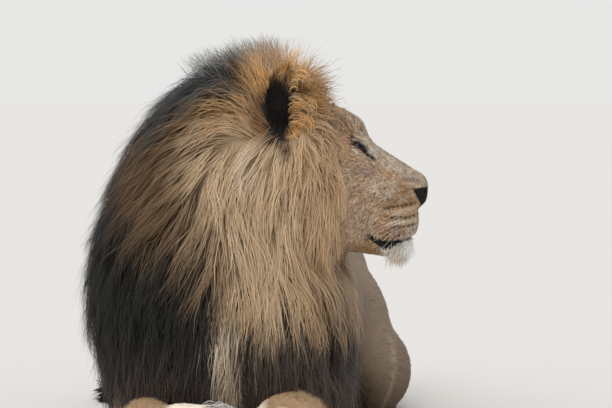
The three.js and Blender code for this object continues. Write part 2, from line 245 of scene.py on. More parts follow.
def trunkForm(p):
    # rings of changing width and height along the back
    y = p[:, 1]
    half, top, low, middle = (curve(y, trunkSize["y"], trunkSize[n])
                              for n in ("half", "top", "low", "middle"))
    up = p[:, 2] - middle
    tall = np.where(up > 0, top - middle, middle - low)
    power = np.where(up > 0, *trunkSize["squareness"])
    rho = ((np.abs(p[:, 0]) / half) ** power + (np.abs(up) / tall) ** power) ** (1 / power)
    radial = (rho - 1) * np.minimum(half, tall) * 0.95
    beyond = np.maximum(trunkSize["y"][0] - y, y - trunkSize["y"][-1])
    return np.maximum(radial, beyond)


# body forms: fillet, kind, place and size; the left side mirrors the right
bodyForms = {
    "shoulderBlade": (0.05, egg, (0.118, 0.085, 0.400), (0.072, 0.125, 0.160), 0, 12),
    "withers": (0.06, egg, (0.0, 0.130, 0.545), (0.055, 0.130, 0.040)),
    "hipBone": (0.06, egg, (0.070, 0.930, 0.448), (0.036, 0.070, 0.036)),
    "thigh": (0.045, egg, (0.112, 0.930, 0.262), (0.076, 0.175, 0.148), 0, 10),
    "thighFront": (0.05, egg, (0.172, 0.790, 0.198), (0.086, 0.165, 0.134), 0, 18),
    "knee": (0.04, egg, (0.245, 0.708, 0.103), (0.078, 0.102, 0.100), 0, 12),
    "shank": (0.022, bone, (0.226, 0.740, 0.098), (0.218, 1.005, 0.066), 0.054, 0.034),
    "hock": (0.02, bone, (0.218, 1.005, 0.066), (0.226, 1.050, 0.036), 0.034, 0.028),
    "heel": (0.016, bone, (0.228, 1.050, 0.032), (0.240, 0.890, 0.031), 0.027, 0.029),
    "instep": (0.02, bone, (0.240, 0.890, 0.031), (0.240, 0.760, 0.036), 0.029, 0.035),
    "ball": (0.02, egg, (0.240, 0.752, 0.034), (0.046, 0.056, 0.032)),
}
# toes: reach of the outer ones, how much further the middle ones go, gap, height, half sizes, fillet
toeSteps = (-1.5, -0.5, 0.5, 1.5)
hindToes = {"x": 0.240, "reach": 0.696, "arch": 0.007, "gap": 0.0245, "z": 0.027,
            "half": (0.0135, 0.030, 0.024), "fillet": 0.006}
foreToes = {"reach": 0.050, "arch": 0.008, "gap": 0.0295, "z": 0.029,
            "half": (0.034, 0.0165, 0.027), "fillet": 0.006}


def toeReach(toes, n, way):
    # the middle toes reach further, towards the sign of way
    return toes["reach"] + way * (toeSteps[0] ** 2 - n * n) * toes["arch"]


def bodyFlesh(p):
    b = turnedBack(p)
    b = np.stack([np.abs(b[:, 0]), b[:, 1], b[:, 2]], axis=1)
    d = melted(b, bodyForms, trunkForm(b))
    for n in toeSteps:
        place = (hindToes["x"] + n * hindToes["gap"], toeReach(hindToes, n, -1), hindToes["z"])
        d = blend(d, egg(b, place, hindToes["half"]), hindToes["fillet"])
    return d


# forelegs: places of the joints, turn of the paw, height of its knuckles, and the radii at the
# shoulder, elbow, wrist, paw and ball
foreLegs = {
    "left": {"shoulder": (0.150, 0.02, 0.310), "arm": (0.164, -0.095, 0.120),
             "elbow": (0.166, -0.095, 0.120), "wrist": (0.112, -0.326, 0.090),
             "paw": (0.104, -0.405, 0.080), "ball": (0.094, -0.478, 0.048),
             "heading": -92, "knuckle": 0.038, "radius": (0.082, 0.060, 0.066, 0.060, 0.046)},
    "right": {"shoulder": (-0.165, 0.02, 0.310), "arm": (-0.196, -0.110, 0.112),
              "elbow": (-0.196, -0.110, 0.104), "wrist": (-0.160, -0.338, 0.080),
              "paw": (-0.106, -0.390, 0.090), "ball": (-0.052, -0.398, 0.092),
              "heading": -4, "knuckle": 0.062, "radius": (0.086, 0.062, 0.054, 0.053, 0.054)},
}
forePaw = {"ahead": 0.016, "half": (0.058, 0.060), "fillet": 0.02}


def foreFlesh(p, side):
    leg = foreLegs[side]
    r = leg["radius"]
    d = bone(p, leg["shoulder"], leg["arm"], r[0], r[1])
    d = blend(d, bone(p, leg["elbow"], leg["wrist"], r[1], r[2]), 0.03)
    d = blend(d, bone(p, leg["wrist"], leg["paw"], r[2], r[3]), 0.02)
    d = blend(d, bone(p, leg["paw"], leg["ball"], r[3], r[4]), 0.02)
    a = math.radians(leg["heading"])
    ahead = np.array([math.cos(a), math.sin(a), 0.0])
    aside = np.array([-ahead[1], ahead[0], 0.0])
    under = np.array(leg["ball"]) * (1, 1, 0)
    rise = leg["knuckle"]
    middle = under + ahead * forePaw["ahead"] + (0, 0, rise)
    d = blend(d, egg(p, middle, (*forePaw["half"], rise)), forePaw["fillet"])
    for n in toeSteps:
        toe = under + ahead * toeReach(foreToes, n, 1) + aside * n * foreToes["gap"] + (0, 0, foreToes["z"])
        d = blend(d, egg(p, toe, foreToes["half"], 0, math.degrees(a)), foreToes["fillet"])
    return d


# the tail from the rump to the end of its bones, in the hindquarters' own frame
tailPath = ((0.0, 1.128, 0.385), (-0.022, 1.200, 0.270), (-0.066, 1.242, 0.135), (-0.122, 1.262, 0.052),
            (-0.200, 1.256, 0.024), (-0.300, 1.226, 0.021), (-0.378, 1.140, 0.019), (-0.416, 1.030, 0.019),
            (-0.428, 0.940, 0.022), (-0.428, 0.860, 0.024))
tailRadius = (0.038, 0.030, 0.024, 0.021, 0.019, 0.017, 0.016, 0.016, 0.016, 0.014)
tailFillet = 0.012


def tailFlesh(p):
    b = turnedBack(p)
    d = np.full(len(p), 9.0, p.dtype)
    for i in range(len(tailPath) - 1):
        d = blend(d, bone(b, tailPath[i], tailPath[i + 1], tailRadius[i], tailRadius[i + 1]), tailFillet)
    return d


# the eye's own axes on the right side of the head, mirrored for the left: out of the eye,
# along the slit from nose to temple, and across it
eyeSlit = np.array([-0.40, 0.49, 0.76])
eyeSlit /= np.linalg.norm(eyeSlit)
eyeOut = np.array([0.74, 0.64, 0.20])
eyeOut -= eyeOut @ eyeSlit * eyeSlit
eyeOut /= np.linalg.norm(eyeOut)
eyeUp = -np.cross(eyeSlit, eyeOut)
headEye = np.array([0.266, 0.061, 0.674])
lidPlace = headEye + np.array([-0.0072, 0.0090, 0.0006])      # middle of the open eye, towards the temple
eyeGap = {"half": 0.0225, "open": 0.0048, "up": 0.003}        # half length, half height and rise

mouthLine = {"x": (0.284, 0.292, 0.312, 0.342, 0.364, 0.387, 0.404),
             "z": (0.491, 0.487, 0.477, 0.470, 0.475, 0.483, 0.488)}
# rows of whisker roots: height and slope at the middle of the pad, sag, first x
whiskerRows = ((0.5508, 0.14, 0.5, 0.318), (0.5250, 0.05, 4.0, 0.322), (0.5060, 0.07, 3.0, 0.332))


def rowGap(x, z, row):
    # height above one row of whiskers
    height, slope, sag, _ = row
    return z - height - slope * (x - 0.360) - sag * (x - 0.363) ** 2


def headPlaces(p):
    # x, distance from the middle plane, z
    return np.stack([p[:, 0], np.sqrt((p[:, 1] - headY) ** 2 + 9e-6), p[:, 2]], axis=1)


def headSide(p):
    # 1 beside the middle plane of the head, 0 beyond its sides
    return ramp(0.20 - np.abs(p[:, 1] - headY), 0, 0.02)


def eyeMap(h):
    # places on the eye's own axes: along the slit, across it, out of the eye
    q = h - lidPlace.astype(h.dtype)
    return q @ eyeSlit.astype(h.dtype), q @ eyeUp.astype(h.dtype), q @ eyeOut.astype(h.dtype)


def eyeOpening(h, wider=0.0):
    # 1 inside the almond between the lids
    along, up, out = eyeMap(h)
    reach = eyeGap["half"] + wider
    half = eyeGap["open"] * np.sqrt(np.clip(1 - (along / reach) ** 2, 0, 1)) + wider
    half = np.where(np.abs(along) < reach, half, -0.01)
    return ramp(half - np.abs(up - eyeGap["up"]), -0.0008, 0.0012) * (out > 0)


# head forms, x, distance from the middle plane and z: fillet, kind, place and size
headForms = {
    "cranium": (0, egg, (0.140, 0, 0.682), (0.112, 0.088, 0.090)),
    "forehead": (0.03, egg, (0.214, 0.0, 0.697), (0.067, 0.066, 0.056)),
    "brow": (0.02, egg, (0.244, 0.036, 0.690), (0.038, 0.034, 0.022), 42),
    "browMiddle": (0.02, egg, (0.254, 0.012, 0.700), (0.029, 0.034, 0.025)),
    "bridge": (0.03, bone, (0.282, 0.010, 0.660), (0.388, 0.007, 0.596), 0.031, 0.028),
    "muzzle": (0.03, egg, (0.332, 0, 0.556), (0.068, 0.054, 0.068)),
    "noseSide": (0.03, egg, (0.306, 0.032, 0.592), (0.060, 0.034, 0.046), 30),
    "underEye": (0.03, egg, (0.258, 0.052, 0.622), (0.052, 0.044, 0.056)),
    "cheekBone": (0.03, egg, (0.200, 0.082, 0.630), (0.078, 0.036, 0.046), 10, -14),
    "jawMuscle": (0.035, egg, (0.212, 0.064, 0.556), (0.066, 0.046, 0.076), 0, -8),
    "lowerJaw": (0.025, bone, (0.222, 0.046, 0.505), (0.330, 0.018, 0.466), 0.045, 0.026),
    "cheekFront": (0.03, egg, (0.285, 0.050, 0.556), (0.048, 0.034, 0.058)),
    "chin": (0.016, egg, (0.361, 0, 0.466), (0.027, 0.028, 0.026), 14),
    "whiskerPad": (0.018, egg, (0.346, 0.034, 0.516), (0.048, 0.034, 0.044), 8, -12),
    "frontLips": (0.014, egg, (0.380, 0.012, 0.515), (0.019, 0.021, 0.037)),
    "noseTop": (0.012, egg, (0.394, 0, 0.592), (0.026, 0.034, 0.023), 24),
    "nostrilWing": (0.008, egg, (0.397, 0.023, 0.580), (0.014, 0.013, 0.013)),
    "noseFront": (0.008, egg, (0.402, 0, 0.572), (0.018, 0.024, 0.024)),
    "noseFoot": (0.008, egg, (0.392, 0, 0.560), (0.014, 0.013, 0.018)),
    "lids": (0.012, egg, headEye, (0.0235, 0.0225, 0.0225)),
    "throat": (0.05, bone, (0.190, 0.0, 0.520), (0.060, 0.0, 0.520), 0.070, 0.090),
}
# how deep each furrow of the face is; the folds under the eye also have their drop
furrows = {"lips": 0.0060, "whiskerRow": 0.0026, "nostril": 0.010, "nostrilSlit": 0.004, "lipCleft": 0.004,
           "eyeGap": 0.0075, "lidFold": 0.0016, "tearLine": 0.0022, "mouthCorner": 0.0020,
           "eyeFolds": ((0.021, 0.0014), (0.031, 0.0010))}


def headFlesh(p):
    return melted(headPlaces(p), headForms)


def tearLine(along, up, width):
    # the dark line from the inner corner of the eye
    return bump(up + 0.30 * (along + 0.02), width)


def headStrokes(p, d):
    # furrows and hollows pressed into the head, positive values sink the skin
    h = headPlaces(p)
    x, y, z = h[:, 0], h[:, 1], h[:, 2]
    lip = curve(x, mouthLine["x"], mouthLine["z"])
    d = d + furrows["lips"] * bump(z - lip, 0.0032) * ramp(x, 0.282, 0.296)
    for row in whiskerRows:
        ends = ramp(x, row[3] - 0.006, row[3] + 0.006)
        d = d + furrows["whiskerRow"] * bump(rowGap(x, z, row), 0.0032) * ends * ramp(y, 0.012, 0.03)
    nostril = bump(x - 0.4120, 0.0075) * bump(y - 0.0190, 0.0065) * bump(z - 0.5820, 0.0060)
    slit = bump(y - 0.028 - (0.408 - x) * 0.5, 0.0035) * bump(z - 0.574, 0.0055) * ramp(x, 0.388, 0.398)
    d = d + furrows["nostril"] * nostril + furrows["nostrilSlit"] * slit
    cleft = furrows["lipCleft"] * bump(y, 0.0028) * ramp(x, 0.380, 0.390)
    d = d + cleft * ramp(0.572 - z, 0, 0.012) * ramp(z, 0.490, 0.500)
    along, up, out = eyeMap(h)
    near = ramp(out, 0.004, 0.010)
    d = d + furrows["eyeGap"] * eyeOpening(h) * near
    d = d + furrows["lidFold"] * bump(up - 0.0150 + 18 * along ** 2, 0.0022) * bump(along, 0.02) * near
    tear = tearLine(along, up, 0.0026) * ramp(-along, 0.018, 0.024) * ramp(along, -0.048, -0.036)
    d = d + furrows["tearLine"] * tear * ramp(x, 0.24, 0.27) * ramp(out, -0.012, 0.0)
    for drop, deep in furrows["eyeFolds"]:
        fold = bump(up + drop + 0.34 * along - 4 * along ** 2, 0.0026) * bump(along + 0.010, 0.020)
        d = d + deep * fold * ramp(out, -0.006, 0.006)
    corner = furrows["mouthCorner"] * bump(x - 0.296 - (0.520 - z) * 0.35, 0.006)
    return d + corner * ramp(z, 0.47, 0.50) * ramp(-z, -0.56, -0.53)


# the ear: its middle, half sizes, lean outwards, turn forwards, wall and how far the cup is shifted
earForm = {"x": 0.113, "side": 0.122, "z": 0.780, "deep": 0.036, "wide": 0.048, "tall": 0.070,
           "lean": 22, "turn": 10, "wall": (0.010, 0.011), "cup": (0.024, 0, 0.004)}


def earPlaces(p):
    # places about the middle of the ear, in the head's own frame
    return headPlaces(p) - np.array([earForm["x"], earForm["side"], earForm["z"]], p.dtype)


def earFlesh(p):
    e = earForm
    q = earPlaces(p)
    a, b = math.radians(e["lean"]), math.radians(e["turn"])
    y = math.cos(a) * q[:, 1] - math.sin(a) * q[:, 2]
    z = math.sin(a) * q[:, 1] + math.cos(a) * q[:, 2]
    x = math.cos(b) * q[:, 0] + math.sin(b) * y
    y = -math.sin(b) * q[:, 0] + math.cos(b) * y
    r = np.stack([x, y, z], axis=1)
    outer = egg(r, (0, 0, 0), (e["deep"], e["wide"], e["tall"]))
    inner = egg(r, e["cup"], (e["deep"], e["wide"] - e["wall"][0], e["tall"] - e["wall"][1]))
    return np.maximum(outer, -inner)


# the thick undercoat of the mane: rings of the neck and chest by height, and of the ruff by x
maneFall = {
    "z": (0.01, 0.06, 0.16, 0.27, 0.38, 0.48, 0.58, 0.68, 0.77, 0.84, 0.886),
    "left": (-0.262, -0.284, -0.312, -0.343, -0.347, -0.330, -0.298, -0.250, -0.186, -0.100, -0.005),
    "right": (0.258, 0.280, 0.288, 0.286, 0.276, 0.238, 0.212, 0.180, 0.150, 0.120, 0.090),
    "front": (-0.235, -0.275, -0.325, -0.362, -0.375, -0.368, -0.345, -0.305, -0.262, -0.212, -0.165),
    "back": (0.190, 0.225, 0.265, 0.305, 0.350, 0.388, 0.378, 0.290, 0.175, 0.070, -0.020),
    "depth": 0.050,         # of the hair over the undercoat
    "squareness": 2.3,
}
maneRuff = {
    "x": (-0.060, -0.030, 0.020, 0.090, 0.160, 0.215, 0.253),
    "top": (0.760, 0.818, 0.868, 0.892, 0.868, 0.812, 0.742),
    "low": (0.540, 0.480, 0.435, 0.398, 0.386, 0.390, 0.410),
    "half": (0.090, 0.145, 0.182, 0.208, 0.216, 0.202, 0.172),
    "depth": 0.042,
    "front": 0.226,
    "thin": 0.030,          # how much it thins out towards the face
}


def fallForm(p):
    m = maneFall
    x, y, z = p[:, 0], p[:, 1], p[:, 2]
    left, right, front, back = (curve(z, m["z"], m[side]) for side in ("left", "right", "front", "back"))
    halfX = np.maximum((right - left) / 2 - m["depth"], 0.01)
    halfY = np.maximum((back - front) / 2 - m["depth"], 0.01)
    u = np.abs(x - (left + right) / 2) / halfX
    v = np.abs(y - (front + back) / 2) / halfY
    rho = (u ** m["squareness"] + v ** m["squareness"]) ** (1 / m["squareness"])
    return np.maximum((rho - 1) * np.minimum(halfX, halfY), z - (m["z"][-1] - m["depth"]))


def ruffForm(p):
    m = maneRuff
    x, y, z = p[:, 0], p[:, 1] - headY, p[:, 2]
    top, low, half = (curve(x, m["x"], m[side]) for side in ("top", "low", "half"))
    narrow = m["thin"] * ramp(x, 0.17, 0.25)
    tall = np.maximum((top - low) / 2 - m["depth"] - narrow, 0.02)
    wide = np.maximum(half - m["depth"] - narrow, 0.02)
    rho = ((np.abs(y) / wide) ** 2 + (np.abs(z - (top + low) / 2) / tall) ** 2) ** 0.5
    ends = np.maximum(m["x"][0] + m["depth"] - x, x - m["front"])
    return np.maximum((rho - 1) * np.minimum(tall, wide), ends)


def maneForm(p):
    return blend(fallForm(p), ruffForm(p), 0.04)


fillets = {"body": 0.05, "foreleg": 0.03, "tail": 0.02, "head": 0.03, "ear": 0.014}
skinLow = 0.0035        # the skin's lowest level above the floor


def flesh(p, forelegs=True):
    # distance to the skin of the whole animal, or of all but the forelegs
    d = blend(maneForm(p), bodyFlesh(p), fillets["body"])
    if forelegs:
        d = blend(d, foreFlesh(p, "left"), fillets["foreleg"])
        d = blend(d, foreFlesh(p, "right"), fillets["foreleg"])
    d = blend(d, tailFlesh(p), fillets["tail"])
    d = blend(d, headFlesh(p), fillets["head"])
    d = headStrokes(p, d)
    d = blend(d, earFlesh(p), fillets["ear"])
    return np.maximum(d, skinLow - p[:, 2])


def fleshSlope(p, forelegs=True, step=0.0006):
    d = flesh(p, forelegs)
    slope = np.empty_like(p)
    for axis in range(3):
        q = p.copy()
        q[:, axis] += step
        slope[:, axis] = (flesh(q, forelegs) - d) / step
    return d, slope


def cellsBy(axis, others, a, b, c):
    # numbers of the cells beside grid edges that run along axis
    cell = np.zeros((len(a), 3), int)
    cell[:, axis], cell[:, others[0]], cell[:, others[1]] = a, b, c
    return cell


def netOver(field, corner, step):
    # surface net: one vertex in each cell that the surface crosses
    inside = field < 0
    cells = tuple(n - 1 for n in field.shape)
    total = np.zeros(cells + (3,), np.float32)
    count = np.zeros(cells, np.int32)
    crossings = []
    for axis in range(3):
        others = [a for a in range(3) if a != axis]
        f = np.moveaxis(field, axis, 0)
        s = np.moveaxis(inside, axis, 0)
        hits = np.argwhere(s[1:] != s[:-1])
        a, b, c = hits.T
        low, high = f[a, b, c], f[a + 1, b, c]
        place = np.zeros((len(hits), 3), np.float32)
        place[:, axis] = a + low / (low - high)
        place[:, others[0]] = b
        place[:, others[1]] = c
        for db in (0, 1):
            for dc in (0, 1):
                cell = cellsBy(axis, others, a, b - db, c - dc)
                np.add.at(total, tuple(cell.T), place)
                np.add.at(count, tuple(cell.T), 1)
        crossings.append((axis, others, a, b, c, s[a, b, c]))
    used = count > 0
    ids = np.full(cells, -1)
    ids[used] = np.arange(used.sum())
    points = total[used] / count[used][:, None] * step + corner
    quads = []
    for axis, others, a, b, c, lowInside in crossings:
        ring = []
        for db, dc in ((1, 1), (0, 1), (0, 0), (1, 0)):
            ring.append(ids[tuple(cellsBy(axis, others, a, b - db, c - dc).T)])
        quad = np.stack(ring, axis=1)
        flip = lowInside if axis != 1 else ~lowInside
        quad[~flip] = quad[~flip][:, ::-1]
        quads.append(quad)
    return points, np.concatenate(quads)


def meshFrom(name, points, faces):
    mesh = bpy.data.meshes.new(name)
    mesh.from_pydata(points.tolist(), [], faces.tolist())
    mesh.update()
    ob = bpy.data.objects.new(name, mesh)
    bpy.context.collection.objects.link(ob)
    return ob


def settle(p, rounds=4):
    # slides points onto the surface of the field
    for _ in range(rounds):
        d, slope = fleshSlope(p)
        p = p - slope * (d / np.maximum((slope ** 2).sum(1), 0.3))[:, None]
    return p


# the skin's grid, the box of the face where it is cut finer, and the reach of the finest parts
skinSize = {"step": 0.0072, "low": (-0.47, -0.62, -0.02), "high": (0.46, 1.34, 0.88)}
faceBox = {"x": 0.235, "half": 0.14, "low": 0.40, "top": 0.77}
finest = {"eye": 0.045, "noseX": 0.385, "noseZ": 0.47, "lipsX": 0.28, "lips": 0.012}


def onFace(c):
    return c.x > faceBox["x"] and abs(c.y - headY) < faceBox["half"] and faceBox["low"] < c.z < faceBox["top"]


def onFeatures(c):
    # eyes, nose and lips
    lip = float(np.interp(c.x, mouthLine["x"], mouthLine["z"]))
    return (np.linalg.norm(np.array([[c.x, abs(c.y - headY), c.z]]) - headEye) < finest["eye"]
            or (c.x > finest["noseX"] and c.z > finest["noseZ"])
            or (c.x > finest["lipsX"] and abs(c.z - lip) < finest["lips"]))


def cutFiner(bm, test):
    chosen = [f for f in bm.faces if test(f.calc_center_median())]
    edges = list({e for f in chosen for e in f.edges})
    bmesh.ops.subdivide_edges(bm, edges=edges, cuts=1, use_grid_fill=True)


def makeSkin():
    step = skinSize["step"]
    axes = [np.arange(lo, hi, step, dtype=np.float32) for lo, hi in zip(skinSize["low"], skinSize["high"])]
    field = np.empty([len(a) for a in axes], np.float32)
    for i, x in enumerate(axes[0]):      # one sheet of the grid at a time
        y, z = np.meshgrid(axes[1], axes[2], indexing="ij")
        p = np.stack([np.full(y.size, x, np.float32), y.ravel(), z.ravel()], axis=1)
        field[i] = flesh(p).reshape(y.shape)
    points, quads = netOver(field, np.array(skinSize["low"], np.float32), step)
    skin = meshFrom("skin", points, quads)
    bm = bmesh.new()
    bm.from_mesh(skin.data)
    cutFiner(bm, onFace)
    cutFiner(bm, onFeatures)
    bmesh.ops.triangulate(bm, faces=[f for f in bm.faces if len(f.verts) > 4])
    bm.to_mesh(skin.data)
    bm.free()
    count = len(skin.data.vertices)
    p = np.empty(count * 3, np.float64)
    skin.data.vertices.foreach_get("co", p)
    p = settle(p.reshape(-1, 3))
    skin.data.vertices.foreach_set("co", (p + homePlace).ravel())
    skin.data.update()
    skin.data.polygons.foreach_set("use_smooth", [True] * len(skin.data.polygons))
    return skin, p


# markings: one tone for every place, shared by the skin and the coat

def linear(rgb):
    # shader values of a tone written as red, green and blue out of 255
    c = np.array(rgb, float) / 255
    return np.where(c <= 0.04045, c / 12.92, ((c + 0.055) / 1.055) ** 2.4)


tones = {name: linear(rgb) for name, rgb in {
    "blond": (207, 181, 147), "cheek": (200, 167, 130), "ginger": (212, 166, 110), "straw": (222, 186, 138),
    "amber": (178, 138, 92), "brown": (111, 87, 62), "wave": (172, 134, 91), "dark": (43, 40, 38),
    "deep": (33, 32, 29), "chest": (80, 69, 63), "nape": (62, 63, 62), "pale": (210, 194, 172),
    "sand": (178, 156, 129), "grey": (172, 169, 166), "rust": (134, 94, 59), "flank": (140, 122, 103),
    "back": (120, 101, 81), "belly": (156, 136, 112), "haunch": (98, 81, 64), "shadow": (70, 60, 52),
    "paw": (180, 147, 112), "cream": (253, 242, 224), "face": (179, 153, 126), "bridge": (184, 167, 147),
    "muzzle": (148, 118, 85), "pad": (178, 150, 116), "orange": (180, 132, 84), "chin": (244, 242, 239),
    "jaw": (156, 121, 85), "under": (212, 202, 190), "brow": (168, 130, 99), "black": (17, 15, 14),
    # this dark tone serves for spots and lines of the coat, and for painted shade in creases and folds
    "lips": (24, 19, 17), "darkMarksAndShade": (50, 39, 31), "wart": (112, 72, 58), "lid": (166, 143, 130),
    "sheen": (128, 136, 148), "eyeRim": (24, 20, 18), "iris": (46, 34, 22), "pupil": (6, 5, 5),
}.items()}

# strokes of tone: name, x, z, reach in x, reach in z, strength; later ones cover earlier ones
maneTones = (
    ("deep", -0.180, 0.400, 0.120, 0.120, 1.0),
    ("chest", -0.150, 0.170, 0.160, 0.075, 0.6),
    ("brown", -0.120, 0.600, 0.130, 0.140, 0.95),
    ("blond", -0.030, 0.680, 0.080, 0.115, 1.0),
    ("blond", 0.095, 0.540, 0.165, 0.225, 1.0),
    ("wave", -0.045, 0.760, 0.078, 0.035, 0.9),
    ("brown", -0.088, 0.700, 0.036, 0.050, 0.55),
    ("brown", -0.048, 0.438, 0.050, 0.060, 0.80),
    ("wave", 0.085, 0.712, 0.056, 0.034, 0.80),
    ("nape", -0.050, 0.832, 0.054, 0.034, 1.0),
    ("nape", -0.120, 0.790, 0.060, 0.036, 1.0),
    ("nape", -0.185, 0.730, 0.050, 0.045, 0.9),
    ("blond", -0.010, 0.690, 0.045, 0.048, 0.60),
    ("cheek", 0.190, 0.600, 0.070, 0.165, 0.8),
    ("dark", -0.118, 0.430, 0.050, 0.058, 0.50),
    ("brown", 0.166, 0.410, 0.026, 0.046, 0.35),
    ("wave", 0.166, 0.757, 0.024, 0.026, 0.70),
    ("pale", 0.122, 0.520, 0.022, 0.052, 0.40),
    ("chest", 0.130, 0.312, 0.018, 0.034, 0.60),
    ("blond", 0.122, 0.500, 0.024, 0.055, 0.8),
    ("cheek", 0.215, 0.318, 0.060, 0.026, 0.5),
    ("chest", 0.170, 0.175, 0.180, 0.088, 1.0),
    ("pale", 0.026, 0.628, 0.022, 0.050, 0.6),
    ("pale", -0.010, 0.240, 0.027, 0.110, 0.90),
    ("sand", 0.262, 0.395, 0.045, 0.090, 1.0),
    ("shadow", 0.306, 0.330, 0.020, 0.100, 0.6),
    ("ginger", 0.110, 0.835, 0.088, 0.062, 1.0),
    ("amber", 0.195, 0.795, 0.050, 0.056, 1.0),
    ("straw", 0.100, 0.874, 0.085, 0.026, 0.75),
    ("black", 0.080, 0.742, 0.012, 0.055, 0.9),
    ("rust", 0.056, 0.745, 0.016, 0.055, 0.9),
    ("black", 0.098, 0.705, 0.030, 0.020, 0.9),
)
# the same on the face, with a turn in degrees
faceTones = (
    ("brow", 0.240, 0.690, 0.022, 0.038, 0.75, 0),
    ("bridge", 0.272, 0.735, 0.016, 0.030, 0.7, 30),
    ("bridge", 0.335, 0.660, 0.075, 0.022, 0.9, -35),
    ("bridge", 0.395, 0.612, 0.032, 0.018, 0.9, -20),
    ("muzzle", 0.350, 0.572, 0.050, 0.026, 0.9, 0),
    ("under", 0.322, 0.592, 0.030, 0.026, 0.25, 0),
    ("brow", 0.330, 0.618, 0.016, 0.008, 0.6, -60),
    ("pad", 0.355, 0.515, 0.055, 0.040, 0.9, 0),
    ("under", 0.300, 0.664, 0.018, 0.010, 0.8, -48),
    ("lid", 0.286, 0.630, 0.024, 0.012, 0.8, -45),
    ("wart", 0.2905, 0.6205, 0.0030, 0.0050, 0.9, -20),
    # painted shade in the crease above the nostril
    ("darkMarksAndShade", 0.384, 0.607, 0.020, 0.0055, 0.50, -6),
    ("darkMarksAndShade", 0.324, 0.507, 0.015, 0.0032, 0.80, -36),
    ("brow", 0.338, 0.616, 0.012, 0.005, 0.6, -60),
    ("pale", 0.2930, 0.6860, 0.0150, 0.0100, 0.70, -48),
    # painted shade under the brow, above the eye
    ("darkMarksAndShade", 0.2590, 0.6960, 0.0075, 0.0050, 0.85, -60),
    ("darkMarksAndShade", 0.2995, 0.6560, 0.0125, 0.0026, 0.90, -37),
    ("brow", 0.343, 0.489, 0.024, 0.011, 0.75, 5),
    ("orange", 0.330, 0.520, 0.016, 0.018, 0.8, -30),
    ("orange", 0.365, 0.545, 0.030, 0.012, 0.5, 10),
    ("jaw", 0.290, 0.462, 0.045, 0.016, 0.9, 0),
    ("chin", 0.375, 0.455, 0.052, 0.026, 1.0, 0),
    ("under", 0.392, 0.495, 0.020, 0.014, 0.7, 0),
)


def noise3(p, size, seed):
    # smooth noise from a few crossed waves, mostly within -1 to 1
    r = np.random.default_rng(seed)
    total = np.zeros(len(p))
    for _ in range(5):
        way = r.normal(size=3)
        way *= 2 * math.pi / size / np.linalg.norm(way) * r.uniform(0.7, 1.4)
        total += np.sin(p @ way + r.uniform(0, 6.28))
    return total / 3


def stroke(u, v, ru, rv):
    # 1 inside an oval of these half sizes, with a soft edge
    return ramp(-np.sqrt((u / ru) ** 2 + (v / rv) ** 2), -1.25, -0.75)


def mixed(first, second, weight):
    # rows of the first where weight is 0, of the second where it is 1
    w = weight[:, None]
    return first * (1 - w) + second * w


def paint(colour, tone, weight):
    # lays a tone over the colours
    return mixed(colour, tones[tone], weight)


def maneTone(p):
    # the borders between the strokes are made ragged
    ragged = np.stack([noise3(p, 0.05, 1), noise3(p, 0.07, 2)], axis=1) * (0.016, 0.022)
    x = p[:, 0] + ragged[:, 0]
    z = p[:, 2] + ragged[:, 1]
    colour = np.tile(tones["dark"], (len(p), 1))
    for tone, cx, cz, rx, rz, strength in maneTones:
        colour = paint(colour, tone, strength * stroke(x - cx, z - cz, rx, rz))
    return colour


def earBack(p):
    # 1 on the black back of the ears
    h = headPlaces(p)
    e = earForm
    near = stroke(h[:, 0] - e["x"] + 0.017, h[:, 2] - e["z"] + 0.021, 0.034, 0.071)
    return near * ramp(h[:, 1], e["side"] - 0.040, e["side"] - 0.015)


def earTone(p):
    # ginger ears with a dark line of painted shade in the fold near the upper rim
    h = headPlaces(p)
    colour = np.tile(tones["ginger"] * 0.9, (len(p), 1))
    edge = curve(h[:, 2], (0.800, 0.824, 0.848, 0.856), (0.111, 0.113, 0.122, 0.138))
    rim = bump(h[:, 0] - edge, 0.0050) * ramp(h[:, 2], 0.812, 0.822)
    return paint(colour, "darkMarksAndShade", 0.9 * rim)


def bodyTone(p):
    b = turnedBack(p)
    x, y, z = np.abs(b[:, 0]), b[:, 1], b[:, 2]
    colour = np.tile(tones["flank"], (len(p), 1))
    colour = paint(colour, "back", 0.8 * ramp(z, 0.44, 0.56))
    colour = paint(colour, "belly", 0.5 * ramp(-z, -0.20, -0.10) * ramp(y, 0.1, 0.3) * ramp(-y, -0.60, -0.40))
    colour = paint(colour, "haunch", 0.8 * ramp(-z, -0.14, -0.02) * ramp(y, 0.55, 0.60))
    folded = 0.292 - 3.0 * (z - 0.12) ** 2      # where the thigh folds over the lower leg
    low = ramp(-z, -0.21, -0.16) * ramp(-y, -0.74, -0.70) * ramp(y, 0.5, 0.55)
    # painted shade beyond the fold line, with a pale line along the fold
    colour = paint(colour, "haunch", 0.35 * ramp(x - folded, 0.002, 0.010) * low)
    colour = paint(colour, "pale", 0.22 * bump(x - folded, 0.0045) * low)
    groin = 0.55 * ramp(-x, -0.252, -0.195) * ramp(-z, -0.36, -0.26) * ramp(y, 0.48, 0.58)
    colour = paint(colour, "shadow", groin * ramp(-y, -0.70, -0.64) * (b[:, 0] > 0))
    fore = ramp(-p[:, 1], 0.04, 0.12) * ramp(-p[:, 2], -0.20, -0.14)
    colour = paint(colour, "paw", 0.9 * fore)
    rightPaw = ramp(p[:, 0], -0.150, -0.120) * ramp(-p[:, 0], -0.08, -0.06) * ramp(-p[:, 1], 0.24, 0.27)
    leftPaw = ramp(-p[:, 1], 0.40, 0.46)
    colour = paint(colour, "cream", np.maximum(rightPaw, 0.8 * leftPaw * ramp(p[:, 0], 0, 0.03)))
    tail = ramp(-b[:, 0], 0.40, 0.42) * ramp(-y, -0.96, -0.88)
    return paint(colour, "dark", tail)


